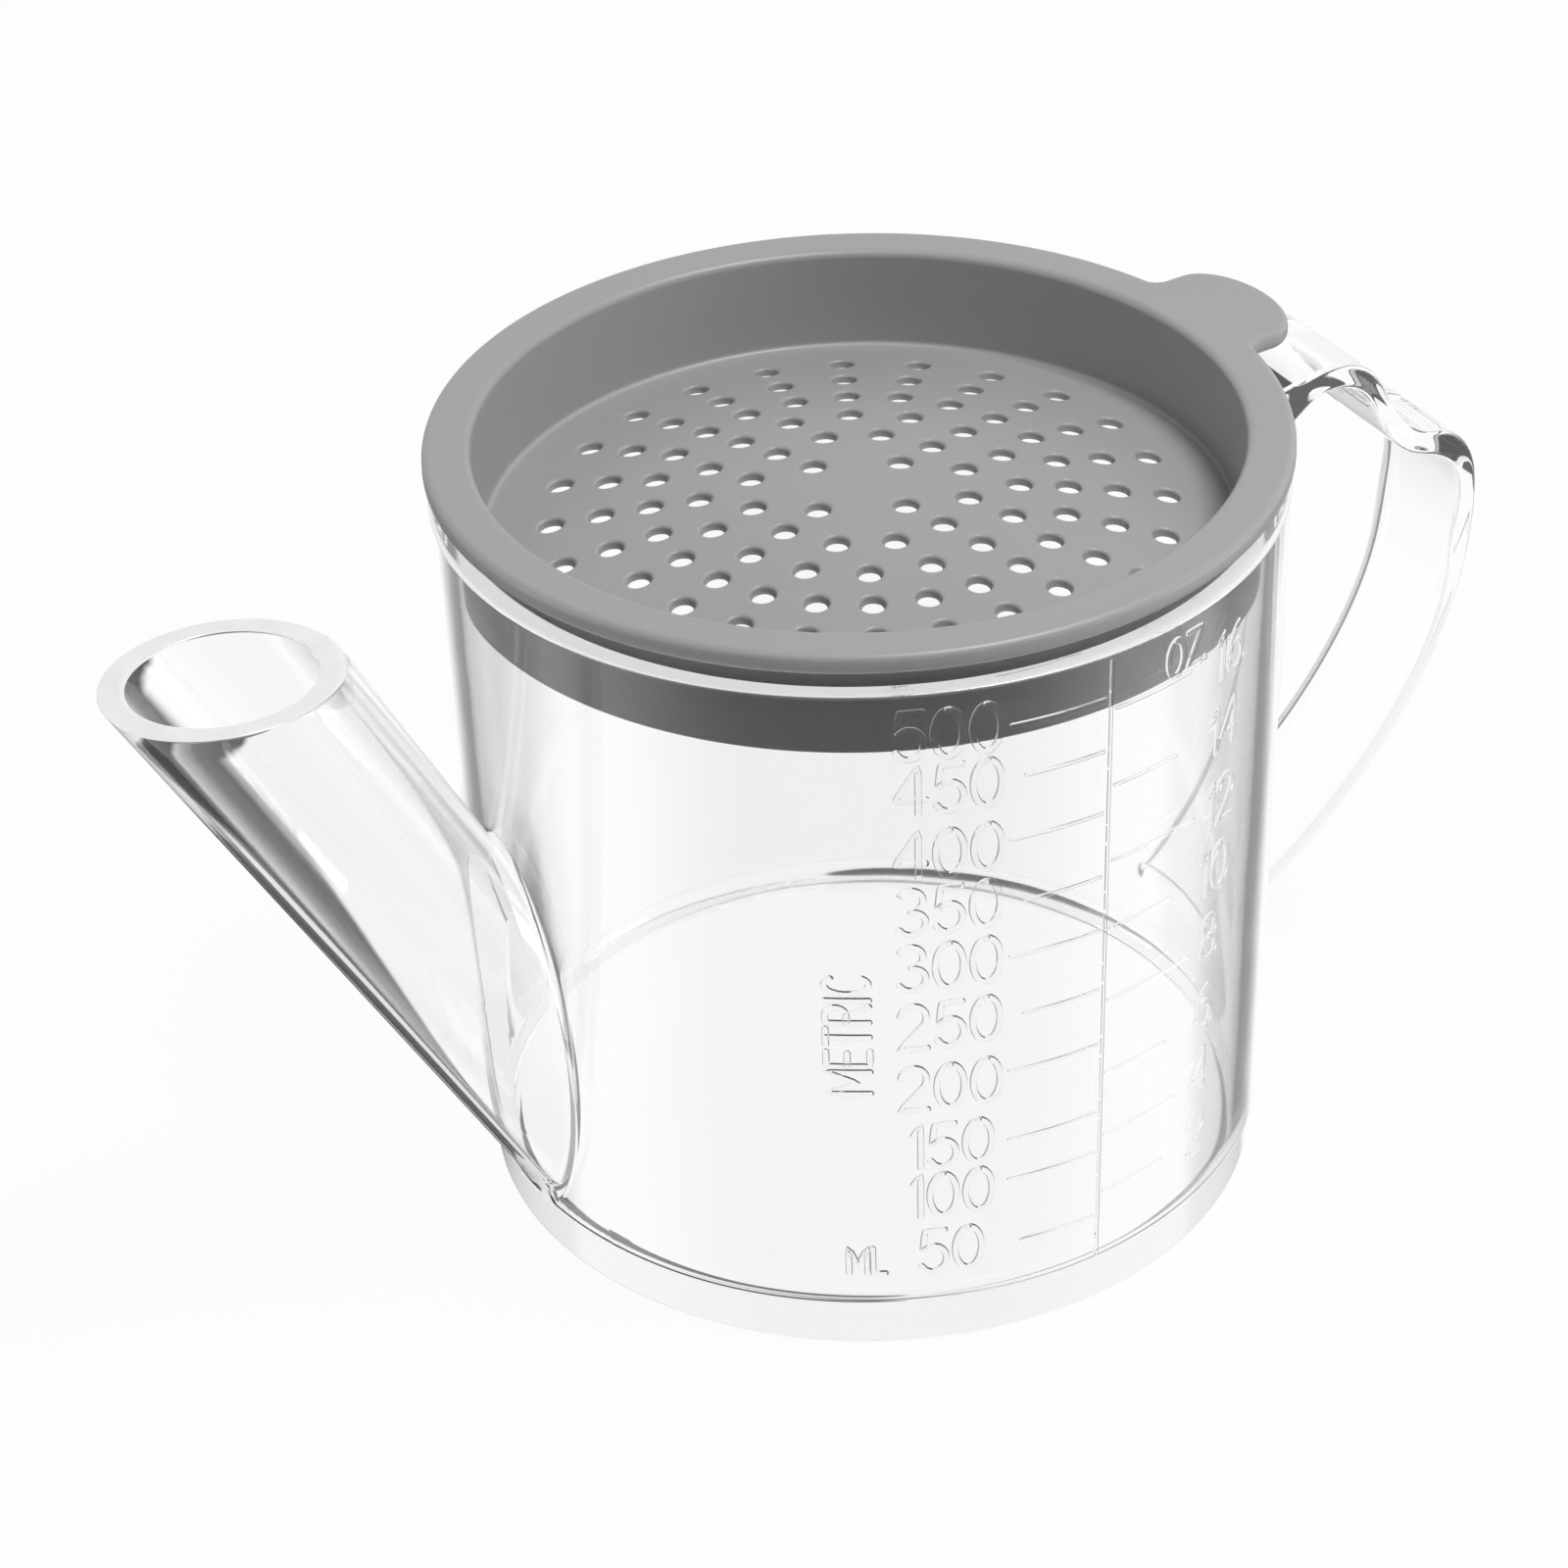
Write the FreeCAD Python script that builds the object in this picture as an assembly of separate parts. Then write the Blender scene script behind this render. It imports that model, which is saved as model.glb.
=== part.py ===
"""Gravy fat separator: a clear measuring jug that pours from its bottom, with a lift-out strainer.

The jug is one clear moulding. It is divided at the outer face of its cup into three nodes, the cup,
the pouring spout and the carry handle, which meet face to face. The strainer is a second moulding.
Small roundings of the edges are made as bevels, which keeps the facets few.
Millimetres, +Z up, origin on the table at the centre of the foot, spout along +X.
"""

import FreeCAD, Part

import math
import os

from FreeCAD import Vector

# Cup
LIP_RADIUS = 48.0
CUP_HEIGHT = 87.8
CUP_DRAFT_DEG = 1.4
CUP_WALL = 2.5
SHOULDER_HEIGHT = 6.1
FOOT_RADIUS = 45.2
FLOOR_TOP = 4.5
FLOOR_BEVEL = 1.2
LIP_BEVEL = 0.5
FOOT_BEVEL = 0.6

# Spout: a drafted tube with a straight bore, sawn level at the mouth, that opens into the cup at the floor
SPOUT_TILT_DEG = 28.6
MOUTH_X = 77.5
MOUTH_Z = 85.9
SPOUT_RADIUS = 11.8
SPOUT_DRAFT_DEG = 0.55
BORE_RADIUS = 9.2
SPOUT_REACH = 87.0
SPOUT_OVERRUN = 14.0

# Handle: a flat strap with a waved thumb rest, its side outline as (x, z) points
STRAP_WIDTH = 15.5
STRAP_OUTER = [
    (-46.4, 85.4), (-53.1, 86.3), (-59.6, 87.1), (-64.0, 85.2), (-67.6, 79.4), (-71.4, 75.2), (-76.0, 73.5),
    (-79.2, 69.6), (-80.0, 63.5), (-78.6, 53.0), (-73.9, 40.8), (-65.2, 28.7), (-52.4, 17.6), (-45.0, 13.0),
]
STRAP_INNER = [
    (-46.4, 75.2), (-53.3, 81.2), (-58.3, 84.0), (-62.3, 82.8), (-66.0, 77.0), (-70.2, 72.4), (-75.0, 70.1),
    (-77.1, 66.8), (-76.9, 60.5), (-75.7, 51.5), (-71.0, 40.2), (-62.6, 29.2), (-52.4, 20.1), (-45.0, 14.6),
]

# Strainer
RIM_RADIUS = 48.3
RIM_THICKNESS = 2.4
RIM_ABOVE_LIP = 2.7
RIM_BEVEL = 0.6
BASKET_DEPTH = 13.6
BASKET_WALL = 2.4
BASKET_DRAFT_DEG = 2.6
BASKET_CLEARANCE = 0.25
DOME_RISE = 5.0
DOME_THICKNESS = 1.5
HOLE_RADIUS = 1.25
HOLE_RINGS = [(6.9, 4), (12.4, 12), (17.9, 16), (23.4, 24), (28.9, 24), (34.5, 24)]
HOLE_PHASE_DEG = 15.0

# Thumb tab of the strainer
TAB_AZIMUTH_DEG = 183.4
TAB_HALF_WIDTH = 9.0
TAB_CENTRE_RADIUS = 51.0
TAB_END_RISE = 5.5

# Heights and radii of the strainer at rest, worked out from the above
RIM_LOW = CUP_HEIGHT + RIM_ABOVE_LIP
RIM_TOP = RIM_LOW + RIM_THICKNESS
BASKET_LOW = RIM_TOP - BASKET_DEPTH
FLOOR_CROWN = BASKET_LOW + DOME_RISE + DOME_THICKNESS
BASKET_SLOPE = math.tan(math.radians(BASKET_DRAFT_DEG))
PLUG_RADIUS = LIP_RADIUS - CUP_WALL - BASKET_CLEARANCE
PLUG_LOW_RADIUS = PLUG_RADIUS - (RIM_LOW - BASKET_LOW) * BASKET_SLOPE
BOWL_RADIUS = PLUG_RADIUS - BASKET_WALL
FLOOR_RADIUS = PLUG_LOW_RADIUS - BASKET_WALL

AXIS = Vector(0, 0, 1)
ORIGIN = Vector(0, 0, 0)


def wall_radius(height):
    """Outer radius of the drafted cup wall at a height."""
    return LIP_RADIUS - (CUP_HEIGHT - height) * math.tan(math.radians(CUP_DRAFT_DEG))


def bevelled(corners):
    """Edges in the XZ plane through (radius, height, bevel) corners, each cut back by its bevel."""
    points = [Vector(radius, 0, height) for radius, height, _ in corners]
    path = [points[0]]
    for index in range(1, len(corners) - 1):
        corner = points[index]
        bevel = corners[index][2]
        if bevel:
            path.append(corner + (points[index - 1] - corner).normalize() * bevel)
            path.append(corner + (points[index + 1] - corner).normalize() * bevel)
        else:
            path.append(corner)
    path.append(points[-1])
    return Part.makePolygon(path).Edges


def revolved(edges):
    """Solid of revolution about Z from the edges of a closed outline."""
    outline = Part.Wire(Part.__sortEdges__(edges))
    return Part.Face(outline).revolve(ORIGIN, AXIS, 360)


def turned(corners):
    """Solid of revolution from corners that start and end on the axis."""
    top = Vector(0, 0, corners[-1][1])
    bottom = Vector(0, 0, corners[0][1])
    return revolved([*bevelled(corners), Part.makeLine(top, bottom)])


def cup_form():
    """Outer form of the cup, solid: drafted wall on an inset foot."""
    return turned([
        (0, 0, 0),
        (FOOT_RADIUS, 0, FOOT_BEVEL),
        (FOOT_RADIUS, SHOULDER_HEIGHT, 0),
        (wall_radius(SHOULDER_HEIGHT), SHOULDER_HEIGHT, 0),
        (LIP_RADIUS, CUP_HEIGHT, LIP_BEVEL),
        (0, CUP_HEIGHT, 0),
    ])


def cup_cavity():
    """The space inside the cup, with a bevelled floor corner and lip."""
    mouth_radius = LIP_RADIUS - CUP_WALL
    return turned([
        (0, FLOOR_TOP, 0),
        (wall_radius(FLOOR_TOP) - CUP_WALL, FLOOR_TOP, FLOOR_BEVEL),
        (mouth_radius, CUP_HEIGHT - LIP_BEVEL, 0),
        (mouth_radius + 2 * LIP_BEVEL, CUP_HEIGHT + LIP_BEVEL, 0),
        (0, CUP_HEIGHT + LIP_BEVEL, 0),
    ])


def slab(low, high):
    """Wide box between two heights."""
    half = 2 * LIP_RADIUS
    return Part.makeBox(4 * half, 2 * half, high - low, Vector(-2 * half, -half, low))


def spout_axis():
    """Unit vector up along the spout."""
    tilt = math.radians(SPOUT_TILT_DEG)
    return Vector(math.sin(tilt), 0, math.cos(tilt))


def spout_low_end():
    """Point on the axis of the spout, inside the cup below its floor."""
    return Vector(MOUTH_X, 0, MOUTH_Z) - spout_axis() * SPOUT_REACH


def spout_form():
    """Outer form of the spout between the shoulder and the level mouth."""
    draft = math.tan(math.radians(SPOUT_DRAFT_DEG))
    low_radius = SPOUT_RADIUS - SPOUT_REACH * draft
    high_radius = SPOUT_RADIUS + SPOUT_OVERRUN * draft
    length = SPOUT_REACH + SPOUT_OVERRUN
    cone = Part.makeCone(low_radius, high_radius, length, spout_low_end(), spout_axis())
    return cone.common(slab(SHOULDER_HEIGHT, MOUTH_Z))


def spout_bore():
    """The straight bore, cut no lower than the floor."""
    length = SPOUT_REACH + SPOUT_OVERRUN
    cylinder = Part.makeCylinder(BORE_RADIUS, length, spout_low_end(), spout_axis())
    return cylinder.common(slab(FLOOR_TOP, MOUTH_Z + SPOUT_OVERRUN))


def smooth_edge(points):
    """Spline edge in the XZ plane through (x, z) points."""
    curve = Part.BSplineCurve()
    curve.interpolate([Vector(x, -STRAP_WIDTH / 2, z) for x, z in points])
    return curve.toShape()


def strap_form():
    """The handle strap: its side outline, extruded across its width."""
    outer = smooth_edge(STRAP_OUTER)
    inner = smooth_edge(STRAP_INNER)
    top_end = Part.makeLine(outer.Vertexes[0].Point, inner.Vertexes[0].Point)
    low_end = Part.makeLine(outer.Vertexes[-1].Point, inner.Vertexes[-1].Point)
    outline = Part.Wire(Part.__sortEdges__([outer, low_end, inner, top_end]))
    return Part.Face(outline).extrude(Vector(0, STRAP_WIDTH, 0))


def clear_moulding():
    """Cup, spout and handle as separate solids that meet at the outer face of the cup."""
    form = cup_form()
    bore = spout_bore()
    cup = form.cut(cup_cavity().fuse(bore))
    spout = spout_form().cut([form, bore])
    handle = strap_form().cut(form)
    outside = [solid for solid in handle.Solids if solid.BoundBox.XMax < 0]
    return cup.Solids[0], spout.Solids[0], outside[0]


def dome_height(radius, crown):
    """Height of the domed floor at a radius, for a dome whose crown is at the given height."""
    sphere_radius = (FLOOR_RADIUS ** 2 + DOME_RISE ** 2) / (2 * DOME_RISE)
    return crown - sphere_radius + math.sqrt(sphere_radius ** 2 - radius ** 2)


def dome_arc(crown):
    """Arc of the domed floor from the axis to the basket wall."""
    radii = (0, FLOOR_RADIUS / 2, FLOOR_RADIUS)
    return Part.Arc(*[Vector(radius, 0, dome_height(radius, crown)) for radius in radii]).toShape()


def strainer_body():
    """Rim, tapered basket wall and domed floor, without holes or tab."""
    under_crown = FLOOR_CROWN - DOME_THICKNESS
    wall = bevelled([
        (FLOOR_RADIUS, BASKET_LOW, 0),
        (PLUG_LOW_RADIUS, BASKET_LOW, RIM_BEVEL),
        (PLUG_RADIUS, RIM_LOW, 0),
        (RIM_RADIUS, RIM_LOW, RIM_BEVEL),
        (RIM_RADIUS, RIM_TOP, RIM_BEVEL),
        (BOWL_RADIUS, RIM_TOP, RIM_BEVEL),
        (FLOOR_RADIUS, BASKET_LOW + DOME_THICKNESS, 0),
    ])
    middle = Part.makeLine(Vector(0, 0, under_crown), Vector(0, 0, FLOOR_CROWN))
    return revolved([middle, dome_arc(under_crown), *wall, dome_arc(FLOOR_CROWN)])


def thumb_tab():
    """Flat tab with an elliptical end, level with the rim."""
    inner = (BOWL_RADIUS + RIM_RADIUS) / 2
    sides = Part.makePolygon([
        Vector(TAB_CENTRE_RADIUS, TAB_HALF_WIDTH, RIM_LOW),
        Vector(inner, TAB_HALF_WIDTH, RIM_LOW),
        Vector(inner, -TAB_HALF_WIDTH, RIM_LOW),
        Vector(TAB_CENTRE_RADIUS, -TAB_HALF_WIDTH, RIM_LOW),
    ])
    centre = Vector(TAB_CENTRE_RADIUS, 0, RIM_LOW)
    side = centre + Vector(0, TAB_HALF_WIDTH, 0)
    tip = centre + Vector(TAB_END_RISE, 0, 0)
    ellipse = Part.Ellipse(side, tip, centre)
    end = Part.Arc(ellipse, 0, math.pi).toShape()
    outline = Part.Wire(Part.__sortEdges__([*sides.Edges, end]))
    plate = Part.Face(outline).extrude(Vector(0, 0, RIM_THICKNESS))
    plate.rotate(ORIGIN, AXIS, TAB_AZIMUTH_DEG)
    return plate


def drain_holes():
    """Cutters for the drain holes, ring by ring, counted from the tab."""
    cutters = []
    for ring_radius, count in HOLE_RINGS:
        for index in range(count):
            angle = math.radians(TAB_AZIMUTH_DEG + HOLE_PHASE_DEG + index * 360 / count)
            low = Vector(ring_radius * math.cos(angle), ring_radius * math.sin(angle), BASKET_LOW)
            cutters.append(Part.makeCylinder(HOLE_RADIUS, BASKET_DEPTH, low))
    return cutters


def strainer():
    """The strainer at rest in the mouth of the cup."""
    return strainer_body().fuse(thumb_tab()).cut(drain_holes()).Solids[0]


def main():
    os.makedirs("parts", exist_ok=True)
    cup, spout, handle = clear_moulding()
    nodes = {
        "jug_cup": cup,
        "pouring_spout": spout,
        "carry_handle": handle,
        "strainer_lid": strainer(),
    }
    for name, solid in nodes.items():
        solid.exportStep(f"parts/{name}.step")


main()
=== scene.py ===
"""Gravy fat separator: a clear measuring jug with a slanted spout, and its grey strainer lid.

Every size is in metres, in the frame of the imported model: +Z up, the foot's centre at the origin,
the spout towards +X.
"""

import math

import bmesh
import bpy
import numpy as np
from bpy.props import FloatProperty, FloatVectorProperty, PointerProperty
from mathutils import Matrix, Vector


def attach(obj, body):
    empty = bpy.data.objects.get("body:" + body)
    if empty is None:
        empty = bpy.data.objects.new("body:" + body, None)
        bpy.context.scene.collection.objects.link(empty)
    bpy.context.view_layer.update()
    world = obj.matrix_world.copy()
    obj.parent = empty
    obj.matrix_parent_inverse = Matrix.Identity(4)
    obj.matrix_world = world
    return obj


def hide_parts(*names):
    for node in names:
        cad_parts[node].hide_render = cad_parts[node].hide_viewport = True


bl_info = {
    "name": "Gravy Fat Separator",
    "version": (1, 0, 0),
    "blender": (4, 5, 0),
    "location": "View3D > Sidebar > Jug",
    "description": "Builds a clear gravy fat separator with its strainer, scale and studio",
    "category": "Add Mesh",
}

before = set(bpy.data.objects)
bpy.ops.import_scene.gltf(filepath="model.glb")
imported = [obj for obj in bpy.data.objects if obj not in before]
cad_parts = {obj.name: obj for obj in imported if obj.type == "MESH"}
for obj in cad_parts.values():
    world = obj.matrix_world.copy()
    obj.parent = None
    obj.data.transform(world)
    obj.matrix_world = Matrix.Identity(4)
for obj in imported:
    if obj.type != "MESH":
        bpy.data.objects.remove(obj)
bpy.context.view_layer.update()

MM = 0.001

# Steps of a search by halves, distance within which points are merged, and angle from which an edge is sharp
HALVINGS = 40
MERGE_DISTANCE = 2e-6
SHARP_EDGE = math.radians(40)

# Straight run beside a rounding that keeps the face next to it flat in its shading
SUPPORT = 0.15 * MM
FILLET_STEPS = 6

# Columns round the cup, the azimuth of the first one in degrees, and the columns that each window in its wall
# spans on either side of its middle
CUP_COLUMNS = 240
FIRST_AZIMUTH = -90.0
SPOUT_COLUMNS = 14
BORE_COLUMNS = 12
STRAP_COLUMNS = 9

# Outer wall of the cup: heights at which its windows start and end, in millimetres, and its rows from stop to
# stop. The strap's lower root lies between the first two, the spout below the third and the strap's upper
# root above the last. The outer wall starts a margin above the shoulder, and the floor's corner a margin
# outside the floor's last ring
WINDOW_STOPS = [8.0, 22.0, 62.0, 70.0]
OUTER_STEPS = [1, 14, 20, 4, 14]
WALL_MARGIN = 0.4 * MM

# Inner wall of the cup: length of the bore's window up the wall, and rows of the floor's rim, of its corner,
# of the window and of the wall above it. Its profile's corner has so many steps, and its arc starts and ends
# at these points
BORE_WINDOW = 47.0 * MM
INNER_STEPS = [4, 8, 27, 17]
CORNER_STEPS = 10
CORNER_START, CORNER_END = 2, -3

# Rings of the cup's floor, as shares of its radius
FLOOR_SHARES = [0, 0.1, 0.35, 0.7, 1]

# Rows of a patch in a window and of the one that runs round the floor's corner, rows of the spout's outside
# and of its bore, and places at which the spout's root is measured
PATCH_ROWS = 10
CORNER_PATCH_ROWS = 30
SPOUT_ROWS = 27
BORE_ROWS = 33
ROOT_PLACES = 360

# Distances down the spout from its mouth between which it meets the cup
SPOUT_MEETS = (20.0 * MM, 88.0 * MM)
# Height at which the cup's radius stands for that of the spout's whole root
ROOT_MIDDLE = 30.0 * MM
# Share of the wall under the spout that its fillet may take, share of the floor's corner that the bore cuts,
# and share of milky, glowing shading painted on the clear lip: painted light that stands in for the light its
# wall carries up
FILLET_SHARE = 0.75
CORNER_SHARE = 0.8
LIP_PAINTED_GLOW = 0.3

# Cells of the strap's section: half a corner, its wide side and its narrow side. Rows along the strap
CORNER_CELLS = 3
WIDE_CELLS = 12
NARROW_CELLS = 8
STRAP_STATIONS = 120
# Shares of the strap's way at which it is clear of the cup, and the share that each of its fillets takes
STRAP_CLEAR = (0.12, 0.90)
STRAP_EASE = 0.012

# Side outline of the strap: millimetres, (x, z) from the upper root to the lower one
STRAP_OUTER = [
    (-46.4, 85.4), (-53.1, 86.3), (-59.6, 87.1), (-64.0, 85.2), (-67.6, 79.4), (-71.4, 75.2), (-76.0, 73.5),
    (-79.2, 69.6), (-80.0, 63.5), (-78.6, 53.0), (-73.9, 40.8), (-65.2, 28.7), (-52.4, 17.6), (-45.0, 13.0),
]
STRAP_INNER = [
    (-46.4, 75.2), (-53.3, 81.2), (-58.3, 84.0), (-62.3, 82.8), (-66.0, 77.0), (-70.2, 72.4), (-75.0, 70.1),
    (-77.1, 66.8), (-76.9, 60.5), (-75.7, 51.5), (-71.0, 40.2), (-62.6, 29.2), (-52.4, 20.1), (-45.0, 14.6),
]

# Rings of drain holes: radius in millimetres, count. They share the azimuth of their first hole, and fill the
# floor between two radii
HOLE_RINGS = [(6.9, 4), (12.4, 12), (17.9, 16), (23.4, 24), (28.9, 24), (34.5, 24)]
FIRST_HOLE = math.radians(15.0)
DRAINED_FROM = 3.9 * MM
DRAINED_TO = 38.0 * MM

# Columns round the floor, rows of its outer band and of its hub, the fewest rows of a hole's cell and its
# columns for each row, and shares of the way from the cell's border to the hole
FLOOR_COLUMNS = 192
BAND_ROWS = 6
HUB_ROWS = 4
LEAST_CELL_ROWS = 4
CELL_COLUMNS_PER_ROW = 3
CELL_SHARES = [0, 0.5, 0.85, 1]
# Points of the arc of a hole's edge, and the straight run beside it
HOLE_ARC_POINTS = 6
HOLE_SUPPORT = 0.1 * MM

# Points of half of the rim's circle, of the hollow beside the tab, of half of the tab's end, and of the edge
RIM_POINTS = 150
NOTCH_POINTS = 10
TAB_POINTS = 26
RIM_EDGE_POINTS = 15

# The metric scale: label, heights of its mark and of its numeral in millimetres, and whether the mark is long
METRIC_MARKS = [
    ("500", 82.4, 82.7, True), ("450", 75.8, 75.8, False), ("400", 67.9, 67.6, True),
    ("350", 59.6, 60.2, False), ("300", 52.5, 52.8, True), ("250", 44.5, 44.9, False),
    ("200", 37.0, 36.5, True), ("150", 27.5, 28.3, True), ("100", 21.9, 21.4, True),
    ("50", 12.8, 13.4, False),
]
# The ounce scale: label, heights of its mark and of its numeral, and azimuths of the mark's far end and the
# numeral's middle in degrees
OUNCE_MARKS = [
    ("16", 80.8, 79.8, 107.0, 115.7), ("14", 71.0, 70.4, 104.8, 115.2), ("12", 61.2, 60.7, 109.0, 114.8),
    ("10", 52.3, 51.9, 105.0, 114.4), ("8", 42.6, 42.9, 109.1, 113.8), ("6", 32.6, 33.5, 104.8, 113.4),
    ("4", 23.9, 24.8, 107.2, 113.0), ("2", 15.8, 16.1, 105.0, 112.6),
]
# Words of the scale: text, azimuth of its middle in degrees, height of its middle and size of its letters in
# millimetres, and whether it reads upwards
SCALE_WORDS = [
    ("METRIC", 57.3, 44.0, 4.9, True), ("ML", 59.2, 12.5, 3.6, False), ("OZ.", 106.2, 83.6, 4.4, False),
]


def bow(middle_x, middle_y, reach_x, reach_y, start, end, steps=14):
    """Arc of an ellipse from one angle to another, in degrees, as points of a stroke."""
    turn = np.radians(np.linspace(start, end, steps))
    return list(zip(middle_x + reach_x * np.cos(turn), middle_y + reach_y * np.sin(turn)))


# Strokes of each character in units of its height, and the gap between characters
CHARACTERS = {
    "0": [bow(0.28, 0.5, 0.27, 0.5, 90, 450, 28)],
    "1": [[(0.1, 0.8), (0.24, 1.0), (0.24, 0.0)]],
    "2": [bow(0.28, 0.72, 0.25, 0.28, 170, -40) + [(0.02, 0.0), (0.55, 0.0)]],
    "3": [bow(0.25, 0.76, 0.23, 0.24, 150, -90), bow(0.26, 0.26, 0.27, 0.26, 90, -150)],
    "4": [[(0.43, 0.0), (0.43, 1.0), (0.0, 0.3), (0.57, 0.3)]],
    "5": [[(0.5, 1.0), (0.1, 1.0), (0.06, 0.58)], bow(0.26, 0.32, 0.27, 0.32, 130, -150)],
    "6": [bow(0.5, 0.3, 0.47, 0.7, 105, 180, 8), bow(0.28, 0.3, 0.25, 0.3, 180, -180, 24)],
    "8": [bow(0.28, 0.76, 0.21, 0.24, -90, 270, 22), bow(0.28, 0.26, 0.26, 0.26, 90, 450, 24)],
    "C": [bow(0.26, 0.5, 0.25, 0.5, 45, 315, 20)],
    "E": [[(0.4, 1.0), (0.0, 1.0), (0.0, 0.0), (0.4, 0.0)], [(0.0, 0.52), (0.36, 0.52)]],
    "I": [[(0.0, 0.0), (0.0, 1.0)]],
    "L": [[(0.0, 1.0), (0.0, 0.0), (0.4, 0.0)]],
    "M": [[(0.0, 0.0), (0.0, 1.0), (0.3, 0.3), (0.6, 1.0), (0.6, 0.0)]],
    "O": [bow(0.27, 0.5, 0.26, 0.5, 90, 450, 24)],
    "R": [
        [(0.0, 0.0), (0.0, 1.0)] + bow(0.2, 0.76, 0.23, 0.24, 90, -90, 10) + [(0.0, 0.52)],
        [(0.2, 0.52), (0.44, 0.0)],
    ],
    "T": [[(0.0, 1.0), (0.46, 1.0)], [(0.23, 1.0), (0.23, 0.0)]],
    "Z": [[(0.0, 1.0), (0.5, 1.0), (0.0, 0.0), (0.5, 0.0)]],
    ".": [[(0.0, 0.0), (0.0, 0.03)]],
}
CHARACTER_GAP = 0.17

# Points of a stroke's round end, and its section in units of its half width and of its height, from foot to
# foot over its flat top
STROKE_END_POINTS = 5
STROKE_SECTION = [(-1, -1), (-1, 0), (-0.78, 1), (-0.7, 1), (0, 1), (0.7, 1), (0.78, 1), (1, 0), (1, -1)]

# Number of mirror bounces and of all bounces after which light inside the clear walls counts as guided
GUIDED_BOUNCES = 3.5
GUIDED_DEPTH = 11.5

# Sines of the slopes between which the dim front of the room fades out, high above the horizon
FRONT_FADE = (-0.8, -0.6)

# Lamps: name, place, side of their square and power in watts, and the point at which they aim
LAMPS = [
    ("ceiling_lamp", (-0.2, 0.28, 1.0), 0.35, 7.1),
    ("left_lamp", (0.75, -0.35, 0.09), 0.4, 1.5),
    ("right_lamp", (-0.7, 0.45, 0.09), 0.4, 1.5),
]
LAMP_AIM = Vector((0, 0, 0.05))

# The floor: half of its side, and its level, a hair below the foot
FLOOR_HALF = 6.0
FLOOR_LEVEL = -0.1 * MM

# The camera: where it looks, from which direction, how far off and how much it leans, and its lens and sensor
# in millimetres
CAMERA_TARGET = Vector((8.3, -4.5, 46.3)) * MM
CAMERA_AZIMUTH = math.radians(61.57)
CAMERA_ELEVATION = math.radians(33.08)
CAMERA_DISTANCE = 566.9 * MM
CAMERA_ROLL = math.radians(-1.87)
CAMERA_LENS = 112.5
CAMERA_SENSOR = 36.0


# Properties of one kind each: a length given in millimetres, an angle given in degrees, a colour, a number
def length(name, description, millimetres):
    return FloatProperty(
        name=name, description=description, default=millimetres * MM, min=0.0, unit="LENGTH", precision=5
    )


def angle(name, description, degrees):
    return FloatProperty(name=name, description=description, default=math.radians(degrees), subtype="ANGLE")


def colour(name, description, default):
    return FloatVectorProperty(name=name, description=description, default=default, subtype="COLOR", size=3)


def factor(name, description, default):
    return FloatProperty(name=name, description=description, default=default, min=0.0, subtype="FACTOR")


class JugSizes(bpy.types.PropertyGroup):
    """Sizes of the clear moulding."""

    lip_radius: length("Lip radius", "Outer radius of the cup at its lip", 48.0)
    height: length("Height", "Height of the lip above the table", 87.8)
    draft: angle("Draft", "Slope of the cup's wall from the vertical", 1.4)
    wall: length("Wall", "Thickness of the cup's wall", 2.5)
    shoulder_height: length("Shoulder height", "Height of the step above the foot", 6.1)
    shoulder_edge: length("Shoulder edge", "Radius of the edges of the step above the foot", 0.12)
    foot_radius: length("Foot radius", "Outer radius of the foot", 45.2)
    floor_top: length("Floor top", "Height of the floor inside the cup", 4.5)
    floor_corner: length("Floor corner", "Radius between the floor and the wall inside", 2.0)
    edge: length("Edge rounding", "Radius of the edges of lip, mouth and foot", 0.45)
    spout_tilt: angle("Spout tilt", "Slope of the spout from the vertical", 28.6)
    mouth_x: length("Mouth reach", "Middle of the spout's mouth from the axis of the cup", 77.5)
    mouth_z: length("Mouth height", "Height of the spout's level mouth", 85.9)
    spout_radius: length("Spout radius", "Outer radius of the spout at its mouth", 11.8)
    spout_draft: angle("Spout draft", "Taper of the spout towards its root", 0.55)
    spout_root: length("Spout root", "Height of the spout's root above the shoulder", 1.3)
    bore_radius: length("Bore radius", "Radius of the spout's bore", 9.2)
    spout_fillet: length("Spout fillet", "Reach of the fillet where the spout meets the cup", 1.4)
    strap_width: length("Strap width", "Width of the handle strap", 15.5)
    strap_edge: length("Strap edge", "Radius of the strap's long edges", 0.6)
    strap_fillet: length("Strap fillet", "Reach of the fillet where the strap meets the cup", 0.8)


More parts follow.
